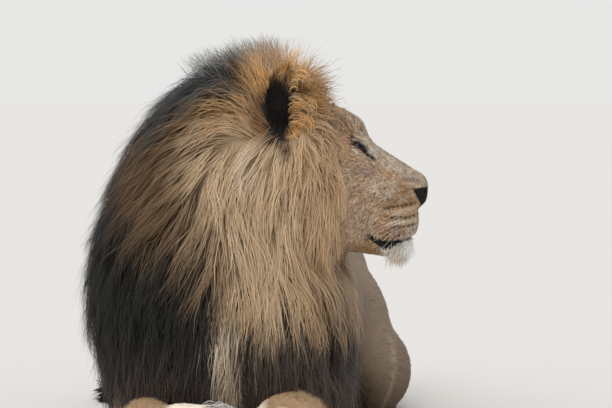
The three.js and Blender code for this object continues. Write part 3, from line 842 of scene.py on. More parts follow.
def faceTone(p):
    # the strokes, then blotches, whisker rows, lips, nose leather and the eye's surround
    h = headPlaces(p)
    x, y, z = h[:, 0], h[:, 1], h[:, 2]
    colour = np.tile(tones["face"], (len(p), 1))
    bridge = 0.8 * ramp(-y, -0.040, -0.020) * ramp(x, 0.27, 0.30) * ramp(z, 0.585, 0.60)
    colour = paint(colour, "bridge", bridge)
    for tone, cx, cz, rx, rz, strength, turn in faceTones:
        a = math.radians(turn)
        u = math.cos(a) * (x - cx) + math.sin(a) * (z - cz)
        v = -math.sin(a) * (x - cx) + math.cos(a) * (z - cz)
        colour = paint(colour, tone, strength * stroke(u, v, rx, rz))
    blotch = 0.09 * noise3(p, 0.036, 5) + 0.16 * noise3(p, 0.014, 6) + 0.13 * noise3(p, 0.007, 8)
    colour = colour * (1 + blotch)[:, None]
    colour = paint(colour, "brow", 0.40 * ramp(noise3(p, 0.022, 12), 0.35, 0.9))
    colour = paint(colour, "under", 0.32 * ramp(noise3(p, 0.016, 13), 0.45, 1.0))
    fringe = ramp(noise3(p, 0.011, 14), -0.2, 0.5) * stroke(x - 0.345, z - 0.488, 0.026, 0.015)
    colour = paint(colour, "darkMarksAndShade", 0.85 * fringe)
    for row in whiskerRows:
        gap = rowGap(x, z, row)
        last = row is whiskerRows[-1]
        along = bump(gap, 0.0042) * ramp(x, row[3], row[3] + 0.012) * ramp(-x, -0.398, -0.388)
        dots = 0.66 + 0.34 * np.sin(x * 2 * math.pi / 0.0095 + row[0] * 900)
        colour = paint(colour, "darkMarksAndShade", along * dots * ramp(y, 0.010, 0.020))
        between = bump(gap + 0.0105, 0.0045) * ramp(x, 0.326, 0.340)
        colour = paint(colour, "brow" if last else "under", 0.40 * between * ramp(y, 0.010, 0.020))
    lip = curve(x, mouthLine["x"], mouthLine["z"])
    deep = 0.003 + 0.011 * bump(x - 0.328, 0.030)
    lips = ramp(z - lip, -deep - 0.003, -deep) * ramp(lip - z, -0.0080, -0.0040)
    colour = paint(colour, "lips", lips * ramp(x, 0.282, 0.296) * ramp(-x, -0.376, -0.356))
    leather = ramp(x - 0.3845 - (0.590 - z) * 0.53, -0.001, 0.002)
    leather = leather * ramp(0.591 + 0.12 * (x - 0.40) - z, 0, 0.003)
    colour = paint(colour, "black", leather * ramp(z, 0.544, 0.549))
    cleft = bump(y, 0.0035) * ramp(x, 0.386, 0.392) * ramp(0.572 - z, 0, 0.01) * ramp(z, 0.49, 0.50)
    colour = paint(colour, "black", cleft)
    along, up, out = eyeMap(h)
    rim = eyeOpening(h, 0.0022) * ramp(out, 0.0, 0.006)
    lower = bump(up + 0.0095 - 8 * along ** 2, 0.0024) * bump(along + 0.004, 0.014) * ramp(out, 0.004, 0.01)
    colour = paint(colour, "cream", 0.75 * lower)
    colour = paint(colour, "black", rim)
    # painted highlight: a blue-grey reflection on the wet skin of the upper lid
    sheen = bump(up - 0.0125 + 12 * along ** 2, 0.0026) * bump(along + 0.002, 0.012) * ramp(out, 0.002, 0.008)
    colour = paint(colour, "sheen", 0.85 * sheen)
    tear = tearLine(along, up, 0.0036) * ramp(-along, 0.012, 0.02) * ramp(along, -0.050, -0.038)
    return paint(colour, "black", 0.85 * tear * ramp(x, 0.24, 0.27) * ramp(out, -0.012, 0.0))


def earZone(p, wider=1.0):
    # 1 on and around the ears
    middle = np.array([earForm["x"] + 0.004, earForm["side"] + 0.02, earForm["z"] - 0.004])
    q = (headPlaces(p) - middle) / (0.048, 0.060, 0.078)
    return ramp(-np.linalg.norm(q, axis=1), -1.1 * wider, -0.95 * wider)


def maneShare(p):
    # 1 where the mane grows
    arms = 0.1 * ramp(p[:, 2], 0.15, 0.19) * ramp(p[:, 1], -0.26, -0.20)      # hair covers the upper arms
    other = np.minimum(bodyFlesh(p), np.minimum(foreFlesh(p, "left"), foreFlesh(p, "right")) + arms)
    share = ramp(other - maneForm(p), -0.004, 0.012)
    bare = ramp(headFlesh(p) - maneForm(p), -0.012, 0.004)
    edge = curve(p[:, 2], (0.45, 0.67, 0.78, 0.86), (0.226, 0.220, 0.196, 0.155))
    bare = np.maximum(bare * ramp(edge - p[:, 0], -0.002, 0.006), ramp(-p[:, 2], -0.43, -0.41))
    return share * bare * (1 - earZone(p))


def tuftTone(p):
    # the tone of the skin and the short fur at any place
    front = ramp(p[:, 0], 0.20, 0.235) * ramp(p[:, 2], 0.40, 0.42) * headSide(p)
    colour = mixed(bodyTone(p), faceTone(p), front)
    colour = mixed(colour, maneTone(p), maneShare(p))
    colour = mixed(colour, earTone(p), earZone(p))
    return paint(colour, "black", earBack(p))


# shares of tone along a lock's three edges, width of a lock's patch on the UV map, lowest level
lockBuild = {"streak": (0.95, 1.05), "patch": 0.003, "low": 0.0006}


class Pile:
    # thin closed locks of hair with three sides, gathered into one mesh

    def __init__(self):
        self.verts, self.quads, self.tris, self.colours, self.uvs, self.count = [], [], [], [], [], 0

    def add(self, path, width, up, colour, uv, ridge=0.8):
        # path (n, k, 3), width (n, k-1), up (n, k, 3), colour (n, k, 3), uv (n, 2)
        n, k = path.shape[:2]
        along = np.gradient(path, axis=1)
        side = np.cross(along, up)
        side /= np.linalg.norm(side, axis=2, keepdims=True) + 1e-9
        top = np.cross(side, along)
        top /= np.linalg.norm(top, axis=2, keepdims=True) + 1e-9
        w = width[:, :, None]
        rings = np.stack([path[:, :-1] - side[:, :-1] * w, path[:, :-1] + side[:, :-1] * w,
                          path[:, :-1] + top[:, :-1] * w * ridge], axis=2)          # n, k-1, 3, 3
        verts = np.concatenate([rings.reshape(n, -1, 3), path[:, -1:]], axis=1)
        per = verts.shape[1]
        base = self.count + np.arange(n)[:, None] * per
        sides = ((0, 1), (1, 2), (2, 0))
        for r in range(k - 2):
            for a, b in sides:
                self.quads.append(base + np.array([r * 3 + b, r * 3 + a, r * 3 + 3 + a, r * 3 + 3 + b]))
        tip = per - 1
        last = (k - 2) * 3
        for a, b in sides:
            self.tris.append(base + np.array([last + b, last + a, tip]))
        self.tris.append(base + np.array([0, 1, 2]))
        self.verts.append(verts.reshape(-1, 3))
        streak = rng.uniform(*lockBuild["streak"], (n, 1, 3, 1))
        tone = (colour[:, :-1, None] * streak).reshape(n, -1, 3)
        tone = np.concatenate([tone, colour[:, -1:]], axis=1)
        self.colours.append(tone.reshape(-1, 3))
        patch = np.zeros((n, per, 2))
        rise = np.linspace(-1, 1, k)
        for r in range(k - 1):
            for a, u in ((0, -1), (1, 1), (2, 0)):
                patch[:, r * 3 + a] = (u, rise[r])
        patch[:, -1] = (0, 1)
        self.uvs.append((uv[:, None] + patch * lockBuild["patch"] / 2).reshape(-1, 2))
        self.count += n * per

    def build(self, name, material):
        verts = np.concatenate(self.verts) + homePlace
        verts[:, 2] = np.maximum(verts[:, 2], lockBuild["low"])
        quads = np.concatenate(self.quads)
        tris = np.concatenate(self.tris)
        mesh = bpy.data.meshes.new(name)
        mesh.vertices.add(len(verts))
        mesh.vertices.foreach_set("co", verts.ravel())
        corners = np.concatenate([quads.ravel(), tris.ravel()])
        mesh.loops.add(len(corners))
        mesh.loops.foreach_set("vertex_index", corners)
        mesh.polygons.add(len(quads) + len(tris))
        starts = np.concatenate([np.arange(len(quads)) * 4, len(quads) * 4 + np.arange(len(tris)) * 3])
        mesh.polygons.foreach_set("loop_start", starts)
        mesh.update(calc_edges=True)
        mesh.polygons.foreach_set("use_smooth", [False] * len(mesh.polygons))
        uv = mesh.uv_layers.new(name="OFBake")
        uv.data.foreach_set("uv", np.concatenate(self.uvs)[corners].ravel())
        setTone(mesh, np.concatenate(self.colours))
        mesh.materials.append(material)
        ob = bpy.data.objects.new(name, mesh)
        bpy.context.collection.objects.link(ob)
        print(name, len(quads) * 2 + len(tris))
        return ob


def setTone(mesh, colours):
    layer = mesh.color_attributes.new("coatColour", "FLOAT_COLOR", "POINT")
    opaque = np.concatenate([np.clip(colours, 0, 1), np.ones((len(colours), 1))], axis=1)
    layer.data.foreach_set("color", opaque.ravel())


furFinish = {"roughness": 0.75, "gloss": 0.25, "grain": 420.0, "grainDetail": 3.0, "patch": 34.0,
             "patchDetail": 4.0, "unevenness": 0.22, "bump": 0.45, "bumpDepth": 0.0016}
coatFinish = {"roughness": 0.60, "gloss": 0.22}
eyeFinish = {"roughness": 0.22, "gloss": 0.35}


def tonedFinish(name):
    # a new material and the tone of each place on it
    finish = Finish(bpy.data.materials.new(name))
    return finish, finish.add("ShaderNodeAttribute", {"attribute_name": "coatColour"}, {}, "Color")


def plainMaterial(name, look):
    finish, tone = tonedFinish(name)
    return finish.shade(Base_Color=tone, Roughness=look["roughness"], Specular_IOR_Level=look["gloss"])


def furMaterial(name):
    # tone of each place with a fine grain of short hair pressed into it
    finish, tone = tonedFinish(name)
    place = finish.add("ShaderNodeTexCoord", {}, {}, "Object")

    def noise(kind):
        sockets = {"Vector": place, "Scale": furFinish[kind], "Detail": furFinish[kind + "Detail"]}
        return finish.add("ShaderNodeTexNoise", {}, sockets, "Fac")

    grain = noise("grain")
    tint = 1 + furFinish["unevenness"] * (grain + noise("patch") - 1)
    colour = finish.add("ShaderNodeVectorMath", {"operation": "SCALE"}, {0: tone, "Scale": tint})
    pressed = {"Height": grain, "Strength": furFinish["bump"], "Distance": furFinish["bumpDepth"]}
    normal = finish.add("ShaderNodeBump", {}, pressed, "Normal")
    return finish.shade(Base_Color=colour, Normal=normal, Roughness=furFinish["roughness"],
                        Specular_IOR_Level=furFinish["gloss"])


def scatter(skin, count, weigh):
    # random roots on the skin, denser where weigh is higher: their places and their UVs
    mesh = skin.data
    mesh.calc_loop_triangles()
    n = len(mesh.loop_triangles)
    corner = np.empty(n * 3, int)
    mesh.loop_triangles.foreach_get("loops", corner)
    vert = np.empty(n * 3, int)
    mesh.loop_triangles.foreach_get("vertices", vert)
    corner, vert = corner.reshape(-1, 3), vert.reshape(-1, 3)
    uv = np.empty(len(mesh.loops) * 2)
    mesh.uv_layers[0].data.foreach_get("uv", uv)
    uv = uv.reshape(-1, 2)
    tri = skinPoints[vert]
    area = np.linalg.norm(np.cross(tri[:, 1] - tri[:, 0], tri[:, 2] - tri[:, 0]), axis=1) / 2
    chance = area * weigh(tri.mean(axis=1))
    expected = count * chance / chance.sum()
    number = np.floor(expected + rng.random(n)).astype(int)
    pick = np.repeat(np.arange(n), number)
    a, b = rng.random((2, len(pick)))
    a, b = np.where(a + b > 1, 1 - a, a), np.where(a + b > 1, 1 - b, b)
    share = np.stack([1 - a - b, a, b], axis=1)
    place = (tri[pick] * share[:, :, None]).sum(1)
    patch = (uv[corner[pick]] * share[:, :, None]).sum(1)
    return place, patch


def unit(v):
    return v / (np.linalg.norm(v, axis=-1, keepdims=True) + 1e-9)


def jitter(n, spread):
    # random factors about 1
    return 1 + spread * rng.normal(size=n)


# flow of the mane: x, z, towards x, towards z, lift, length
maneFlow = np.array((
    (-0.020, 0.850, -0.80, 0.40, 0.40, 0.075),
    (0.035, 0.868, -0.50, 0.90, 0.75, 0.064),
    (0.085, 0.868, 0.00, 1.00, 0.75, 0.056),
    (0.140, 0.850, 0.45, 0.80, 0.50, 0.042),
    (0.185, 0.815, 0.80, 0.25, 0.35, 0.036),
    (0.212, 0.775, 0.75, 0.10, 0.35, 0.034),
    (-0.060, 0.820, -0.90, -0.15, 0.30, 0.110),
    (-0.135, 0.765, -0.75, -0.60, 0.30, 0.130),
    (0.045, 0.815, -0.35, 0.90, 0.60, 0.065),
    (0.042, 0.775, -0.55, 0.80, 0.35, 0.085),
    (0.000, 0.790, -1.00, 0.10, 0.30, 0.150),
    (-0.045, 0.770, -0.85, -0.50, 0.30, 0.180),
    (0.030, 0.725, -0.60, 0.65, 0.30, 0.120),
    (0.005, 0.725, -0.95, 0.10, 0.30, 0.140),
    (-0.028, 0.712, -0.60, -0.75, 0.30, 0.170),
    (-0.045, 0.665, -0.35, -0.93, 0.30, 0.190),
    (0.000, 0.665, -0.25, -0.95, 0.30, 0.170),
    (-0.110, 0.720, -0.85, -0.50, 0.30, 0.180),
    (-0.175, 0.675, -0.80, -0.60, 0.30, 0.170),
    (-0.240, 0.590, -0.65, -0.75, 0.30, 0.160),
    (-0.130, 0.615, -0.70, -0.70, 0.30, 0.180),
    (-0.090, 0.530, -0.50, -0.87, 0.30, 0.190),
    (-0.175, 0.540, -0.72, -0.68, 0.30, 0.170),
    (-0.280, 0.485, -0.35, -0.93, 0.30, 0.160),
    (-0.260, 0.355, -0.05, -1.00, 0.30, 0.160),
    (-0.280, 0.185, -0.25, -0.95, 0.35, 0.120),
    (-0.135, 0.420, -0.45, -0.90, 0.30, 0.170),
    (-0.155, 0.270, 0.00, -1.00, 0.30, 0.160),
    (-0.050, 0.570, -0.15, -0.98, 0.30, 0.200),
    (0.015, 0.530, 0.03, -1.00, 0.30, 0.210),
    (0.035, 0.645, -0.45, -0.88, 0.30, 0.140),
    (0.085, 0.665, -0.40, -0.90, 0.30, 0.170),
    (0.125, 0.695, -0.15, -0.98, 0.30, 0.180),
    (0.120, 0.530, 0.02, -1.00, 0.30, 0.210),
    (0.165, 0.720, 0.45, -0.85, 0.30, 0.090),
    (0.195, 0.745, 0.70, -0.60, 0.25, 0.055),
    (0.220, 0.675, 0.00, -1.00, 0.20, 0.120),
    (0.195, 0.570, 0.03, -1.00, 0.25, 0.180),
    (0.205, 0.400, 0.30, -0.95, 0.30, 0.180),
    (0.145, 0.355, 0.20, -0.98, 0.30, 0.190),
    (0.060, 0.355, -0.05, -1.00, 0.30, 0.200),
    (0.250, 0.455, 0.15, -0.98, 0.30, 0.130),
    (-0.015, 0.295, -0.05, -1.00, 0.30, 0.200),
    (0.100, 0.210, 0.05, -1.00, 0.30, 0.140),
    (0.230, 0.210, 0.12, -1.00, 0.30, 0.140),
))
maneBuild = {
    "guides": 3600, "strands": 37500,
    "steps": 10, "points": 6,                       # of a guide, of a strand
    "reach": 0.032,                                 # of each row of the flow
    "lengths": (0.75, 1.15), "height": 0.036, "heights": (0.35, 1.1),
    "riseAt": (0, 1, 2, 3, 5, 7), "rise": (0.0, 0.50, 0.80, 0.95, 1.0, 0.85),      # share of the height
    "upright": 1.6, "freed": 0.7,                   # at full lift: added height, and freedom from the skin
    "swing": 0.15, "bends": ((0.22, 0.7), (0.07, 1.5)), "turn": 0.45,
    "low": 0.006,                                   # lowest level of a guide
    "earSteps": 8, "wristGap": 0.030, "wristY": -0.335, "wristZ": 0.16,       # where guides are cleared away
    "orphan": 0.03, "scales": (0.72, 1.12), "clumping": (0.15, 0.70), "frizz": 0.0082,
    "width": 0.00068, "widths": (0.7, 1.25), "ridge": 0.24, "tilt": 0.13,
    "stray": 0.12, "strayLift": 0.014, "strayDrift": 0.009, "strayWidth": 0.5,
    "crestThinner": 0.48, "crestDenser": 2.2, "frontDenser": 0.4,
    "top": 0.912, "pressed": 0.6,                   # level above which hair is pressed down
    "behind": (0.3, 0.55, -0.75),                   # flow behind the head: share of x, towards y, towards z
}


def flowAt(p):
    # direction, lift and length of the hair that grows at each place
    away = ((p[:, None, [0, 2]] - maneFlow[None, :, :2]) ** 2).sum(2)
    weight = np.exp(-away / maneBuild["reach"] ** 2) + 1e-9 / (away + 0.01)
    weight /= weight.sum(1, keepdims=True)
    mix = weight @ maneFlow[:, 2:]
    near = np.stack([mix[:, 0], np.zeros(len(p)), mix[:, 1]], axis=1)
    # behind the head the hair runs back over the shoulders and down
    keep, back, down = maneBuild["behind"]
    far = np.stack([mix[:, 0] * keep, np.full(len(p), back), np.full(len(p), down)], axis=1)
    behind = ramp(p[:, 1], 0.02, 0.16)[:, None]
    return near * (1 - behind) + far * behind, mix[:, 2], mix[:, 3]


def onWrists(p):
    # true close over the wrists and paws, which stay clear of the mane
    limbs = np.minimum(foreFlesh(p, "left"), foreFlesh(p, "right"))
    near = (limbs > 0) & (limbs < maneBuild["wristGap"])
    return near & (p[:, 1] < maneBuild["wristY"]) & (p[:, 2] < maneBuild["wristZ"])


def maneGuides(roots):
    # paths that run over the body below with the flow, at their own height
    steps = maneBuild["steps"] + 1
    p = roots.copy()
    n = len(p)
    path = np.empty((n, steps + 1, 3))
    ups = np.empty((n, steps + 1, 3))
    d, slope = fleshSlope(p, False)
    _, lift, length = flowAt(p)
    upright = ramp(lift, 0.35, 0.9)
    length = length * rng.uniform(*maneBuild["lengths"], n)
    height = maneBuild["height"] * rng.uniform(*maneBuild["heights"], n)
    height *= 1 - 0.55 * ramp(p[:, 0], 0.20, 0.25) * ramp(p[:, 2], 0.40, 0.46)
    height = height * (1 + maneBuild["upright"] * upright)
    step = length / maneBuild["steps"]
    wave = rng.uniform(0, 6.28, (2, n))
    swing = rng.normal(0, maneBuild["swing"], n)
    riseAt = maneBuild["riseAt"]
    rises = np.interp(np.linspace(0, riseAt[-1], steps + 1), riseAt, maneBuild["rise"])
    (wide, slow), (narrow, quick) = maneBuild["bends"]
    turn = maneBuild["turn"]
    heading = None
    hidden = np.zeros(n)
    for k in range(steps + 1):
        path[:, k] = p
        normal = unit(slope)
        ups[:, k] = normal
        flow, _, _ = flowAt(p)
        held = (1 - maneBuild["freed"] * upright)[:, None]
        flow = unit(flow - (flow * normal).sum(1, keepdims=True) * normal * held)
        side = np.cross(flow, normal)
        bend = swing + wide * np.sin(wave[0] + k * slow) + narrow * np.sin(wave[1] + k * quick)
        climb = ((height * rises[min(k + 1, steps)] - d) / step)[:, None]
        want = unit(flow + side * bend[:, None] + normal * np.clip(climb, -0.4, 1.0))
        heading = want if heading is None else unit(heading * (1 - turn) + want * turn)
        p = p + heading * step[:, None]
        p[:, 2] = np.maximum(p[:, 2], maneBuild["low"])
        d, slope = fleshSlope(p, False)
        if k < maneBuild["earSteps"]:       # only the ends of the hair may pass over an ear
            hidden = np.maximum(hidden, earZone(p, 0.9))
        hidden = np.maximum(hidden, onWrists(p))
    for _ in range(2):      # smooths the kinks out
        path[:, 1:-1] = (path[:, :-2] + 2 * path[:, 1:-1] + path[:, 2:]) / 4
    clear = hidden < 0.5
    return path[clear], ups[clear]


def onCrest(p):
    # 1 on the fluffy crown between and before the ears
    return ramp(p[:, 2], 0.775, 0.82) * ramp(p[:, 0], 0.0, 0.06)


def clumped(guideRoots, path, ups, roots):
    # strands gather towards the guide nearest their root
    spread = maneBuild["frizz"]
    tree = KDTree(len(guideRoots))
    for i, q in enumerate(guideRoots):
        tree.insert(q, i)
    tree.balance()
    found = [tree.find(q) for q in roots]
    close = np.array([f[2] for f in found]) < maneBuild["orphan"]      # none where guides were cleared away
    roots = roots[close]
    owner = np.array([f[1] for f in found])[close]
    n = len(roots)
    k = maneBuild["points"]
    scale = rng.uniform(*maneBuild["scales"], n)
    at = np.arange(k)[None] * scale[:, None] * (path.shape[1] - 1) / k
    low = np.minimum(at.astype(int), path.shape[1] - 2)
    part = (at - low)[:, :, None]
    rows = owner[:, None]
    line = path[rows, low] * (1 - part) + path[rows, low + 1] * part
    up = ups[rows, low] * (1 - part) + ups[rows, low + 1] * part
    offset = (roots - guideRoots[owner])[:, None]
    s = np.linspace(0, 1, k)[None, :, None]
    loose = onCrest(roots)[:, None, None]
    pull = rng.uniform(*maneBuild["clumping"], len(guideRoots))[owner][:, None, None] * (1 - 0.8 * loose)
    frizz = rng.normal(0, spread, (n, 1, 3)) * s ** 1.2 * (1 + 1.6 * loose)
    phase = rng.uniform(0, 6.28, (n, 1, 1))
    curl = rng.normal(0, spread * 0.5, (n, 1, 3)) * np.sin(phase + s * 7) * s ** 0.5
    return line + offset * (1 - pull * s ** 1.3) + frizz + curl, up, owner, close


# tones of the strands: how far each wanders over the borders, and how much clumps and strands vary
strandLook = {"wander": 0.011, "clump": 0.055, "strand": 0.045, "waved": 0.3, "wave": 0.45, "follow": 0.60,
              "shadeAt": (0, 0.3, 0.7, 1), "shade": (0.90, 1.0, 1.04, 1.08), "dark": 0.115, "ginger": 2.6}


def strandTones(line, owner, guides):
    # tones along each strand, and the kind of hair that it belongs to
    n, k = line.shape[:2]
    look = strandLook
    middle = line[:, k // 2 - 1]
    tone = maneTone(middle + rng.normal(0, look["wander"], (n, 3)))
    waved = (rng.random(guides) < look["waved"])[owner] * look["wave"] * ramp(tone.mean(1), 0.18, 0.30)
    tone = paint(tone, "wave", waved)
    calm = 1 - 0.5 * ramp(-tone.mean(1), -0.09, -0.05)[:, None]      # dark hair varies less
    clump = jitter(guides, look["clump"])[owner] * jitter(n, look["strand"])
    shade = np.interp(np.linspace(0, 1, k), look["shadeAt"], look["shade"])
    local = maneTone(line.reshape(-1, 3)).reshape(n, k, 3)
    # high up, hair changes tone along its length
    follow = look["follow"] * ramp(middle[:, 2], 0.44, 0.56)[:, None, None]
    colour = tone[:, None] * (1 - follow) + local * follow
    colour = colour * (1 + (clump[:, None] * shade[None] - 1) * calm)[:, :, None]
    crest = ramp(middle[:, 2], 0.835, 0.875) * ramp(-middle[:, 0], -0.13, -0.02)
    tipGrey = (crest[:, None] * np.linspace(-0.6, 1, k)[None].clip(0, 1))[:, :, None]
    colour = colour * (1 - tipGrey) + tones["grey"] * tipGrey
    bright = tone @ (0.3, 0.5, 0.2)
    redness = tone[:, 0] / tone[:, 2]
    kind = np.where(bright < look["dark"], "dark", np.where(redness > look["ginger"], "ginger", "blond"))
    kind[crest > 0.5] = "ginger"
    return colour, kind


# each kind of hair: its slot, the points kept along a strand, and its width beside the others'
everyPoint = list(range(maneBuild["points"]))
maneKinds = {
    "ginger": ("mane_ginger", everyPoint, 1.0),
    "blond": ("mane_blond", everyPoint, 1.0),
    "dark": ("mane_dark", everyPoint[:3] + everyPoint[4:], 1.2),        # dark hair hides its bends
}
pieceLimit = 190000     # triangles


def maneDensity(p):
    front = maneBuild["frontDenser"] * ramp(-p[:, 1], 0.0, 0.2)
    return maneShare(p) * (1 + front + maneBuild["crestDenser"] * onCrest(p))


def makeMane(skin, material):
    guideRoots, _ = scatter(skin, maneBuild["guides"], maneShare)
    path, ups = maneGuides(guideRoots)
    guideRoots = path[:, 0]
    print("mane guides", len(path))
    roots, patch = scatter(skin, maneBuild["strands"], maneDensity)
    line, up, owner, close = clumped(guideRoots, path, ups, roots)
    roots, patch = roots[close], patch[close]
    n, k = line.shape[:2]
    s = np.linspace(0, 1, k)[None, :, None]
    stray = rng.random(n) < maneBuild["stray"]
    wander = up * (maneBuild["strayLift"] * rng.random((n, 1, 1)) * s)
    wander = wander + rng.normal(0, maneBuild["strayDrift"], (n, 1, 3)) * s ** 1.5
    line = line + wander * stray[:, None, None]
    above = (line[:, :, 2] - maneBuild["top"]).clip(0)
    line[:, :, 2] -= maneBuild["pressed"] * above       # the crown keeps to its height
    up = unit(up + rng.normal(0, maneBuild["tilt"], (n, 1, 3)))
    taper = np.interp(np.linspace(0, 1, k)[:-1], (0, 0.2, 0.6, 0.85, 1), (0.8, 1.0, 1.0, 0.72, 0.3))
    width = maneBuild["width"] * rng.uniform(*maneBuild["widths"], (n, 1)) * taper[None]
    width[stray] *= maneBuild["strayWidth"]
    width *= 1 - maneBuild["crestThinner"] * onCrest(roots)[:, None]
    colour, kinds = strandTones(line, owner, len(guideRoots))
    pieces = []
    for kind, (slot, kept, wider) in maneKinds.items():
        chosen = np.where(kinds == kind)[0]
        parts = int(len(chosen) * (6 * len(kept) - 8) // pieceLimit) + 1
        order = chosen[np.argsort(roots[chosen, 2])]
        for i, part in enumerate(np.array_split(order, parts)):
            pile = Pile()
            pile.add(line[part][:, kept], width[part][:, kept[:-1]] * wider, up[part][:, kept],
                     colour[part][:, kept], patch[part], maneBuild["ridge"])
            ob = pile.build("mane_%s_%d" % (kind, i + 1), material)
            pieces.append((ob, slot))
    return pieces


def turnedHome(v):
    # directions in the hindquarters' frame, as they are in the lion's own
    x, y = v[..., 0], v[..., 1]
    return np.stack([turnCos * x + turnSin * y, -turnSin * x + turnCos * y, v[..., 2]], axis=-1)


def shortFlow(p):
    # the lie of the short fur: back from the nose, back along the trunk, towards the toes
    h = headPlaces(p)
    n = len(p)
    sign = np.sign(p[:, 1] - headY)
    face = ramp(p[:, 0], 0.20, 0.24) * ramp(p[:, 2], 0.40, 0.44)
    away = np.stack([np.full(n, -0.9), 0.25 * sign, 0.15 - 1.6 * ramp(-h[:, 2], -0.66, -0.50)], axis=1)
    away = mixed(away, np.array([-0.5, 0, 0.9]), ramp(p[:, 2], 0.68, 0.72))      # up over the brow
    pad = ramp(h[:, 0], 0.30, 0.32) * ramp(h[:, 2], 0.488, 0.498) * ramp(-h[:, 2], -0.575, -0.560)
    away = mixed(away, np.stack([np.full(n, -1.0), 0.3 * sign, np.full(n, -0.10)], axis=1), pad)
    b = turnedBack(p)
    body = np.tile(turnedHome(np.array([0, 0.9, -0.4])), (n, 1))
    feet = ramp(-b[:, 2], -0.085, -0.060) * ramp(b[:, 1], 0.60, 0.62)
    body = mixed(body, turnedHome(np.array([0, -1, -0.15])), feet)
    fore = ramp(-p[:, 1], 0.04, 0.12) * ramp(-p[:, 2], -0.22, -0.16)
    body = mixed(body, np.array([0.1, -1, -0.25]), fore)
    across = ramp(p[:, 0], -0.17, -0.12) * ramp(-p[:, 0], -0.01, 0.01) * ramp(-p[:, 1], 0.24, 0.28)
    body = mixed(body, np.array([1, -0.2, -0.15]), across)
    nodes = np.array(tailPath)
    reach = np.linalg.norm(b[:, None] - nodes[None], axis=2)
    ahead = turnedHome(np.gradient(nodes, axis=0)[reach.argmin(1)])
    body = mixed(body, unit(ahead), ramp(-reach.min(1), -0.085, -0.070))
    return mixed(body, away, face)


rootDepth = 0.0004      # how far a short lock starts below the skin


def tufts(roots, length, width, rise, look):
    # paths, widths, upward directions and tones of short locks that lie along the flow
    normal = unit(fleshSlope(roots)[1])
    flow = shortFlow(roots)
    flow = unit(flow - (flow * normal).sum(1, keepdims=True) * normal)
    n = len(roots)
    side = np.cross(flow, normal)
    flow = unit(flow + side * rng.normal(0, look["wobble"], (n, 1)))
    size = (length * rng.uniform(0.7, 1.25, n))[:, None]
    rise = np.broadcast_to(rise, (n,))[:, None]
    middle = roots + flow * size * 0.5 + normal * size * 0.62 * rise
    tip = roots + flow * size + normal * size * rise
    path = np.stack([roots - normal * rootDepth, middle, tip], axis=1)
    up = np.repeat(normal[:, None], 3, axis=1)
    w = (width * rng.uniform(0.75, 1.25, n))[:, None] * np.array([[0.9, 0.85]])
    tone = tuftTone(roots) * jitter(n, look["fleck"])[:, None]
    # painted shade: each lock darker at its root and lighter at its tip
    colour = tone[:, None] * np.array([look["root"], 1.0, 1.08])[None, :, None]
    return path, w, up, colour


def offBare(p):
    # 0 on the open eye, the leather of the nose and the lips
    h = headPlaces(p)
    bare = faceTone(p).max(1) < 0.02
    return np.where(bare & (h[:, 0] > 0.24) & (h[:, 2] > 0.42), 0.0, 1.0)


def onHead(p):
    return ramp(p[:, 0], 0.205, 0.235) * ramp(p[:, 2], 0.41, 0.43) * headSide(p)


# short fur: count, length, how much shorter it is on the snout or the feet, width, rise of the tips,
# what the brow adds to length and rise, and how much the locks vary in direction and tone; root is
# painted shade, the darkening of each lock at its root
faceFur = {"count": 20000, "length": 0.0108, "shorter": 0.0060, "width": 0.00095, "rise": 0.14,
           "brow": (0.007, 0.24), "wobble": 0.45, "fleck": 0.34, "root": 0.80, "ridge": 0.5}
bodyFur = {"count": 24000, "length": 0.019, "shorter": 0.007, "width": 0.0015, "thinner": 0.0004,
           "rise": 0.05, "wobble": 0.18, "fleck": 0.06, "root": 0.92, "ridge": 0.3}


def faceDensity(p):
    return onHead(p) * offBare(p) * (1 - 0.7 * maneShare(p))


def bodyDensity(p):
    # closer on the fore and hind feet, none on the floor
    legs = (ramp(-p[:, 1], 0.1, 0.2) + ramp(p[:, 1], 0.6, 0.62)) * ramp(-p[:, 2], -0.12, -0.08)
    return (1 - onHead(p)) * (1 - maneShare(p)) * ramp(p[:, 2], 0.002, 0.006) * (1 + 2.0 * legs)


def makeFur(skin, material):
    roots, patch = scatter(skin, faceFur["count"], faceDensity)
    brow = ramp(roots[:, 2], 0.69, 0.72)
    longer, steeper = faceFur["brow"]
    length = faceFur["length"] - faceFur["shorter"] * ramp(roots[:, 0], 0.28, 0.36) + longer * brow
    pile = Pile()
    locks = tufts(roots, length, faceFur["width"], faceFur["rise"] + steeper * brow, faceFur)
    pile.add(*locks, patch, faceFur["ridge"])
    pieces = [(pile.build("fur_face", material), "face_fur")]
    roots, patch = scatter(skin, bodyFur["count"], bodyDensity)
    feet = ramp(-roots[:, 2], -0.12, -0.06)
    length = bodyFur["length"] - bodyFur["shorter"] * feet
    width = bodyFur["width"] - bodyFur["thinner"] * feet
    parts = np.array_split(np.argsort(roots[:, 1]), 3)
    for name, part in zip(("front", "middle", "rear"), parts):
        pile = Pile()
        pile.add(*tufts(roots[part], length[part], width[part], bodyFur["rise"], bodyFur), patch[part],
                 bodyFur["ridge"])
        pieces.append((pile.build("fur_" + name, material), "body_fur"))
    return pieces


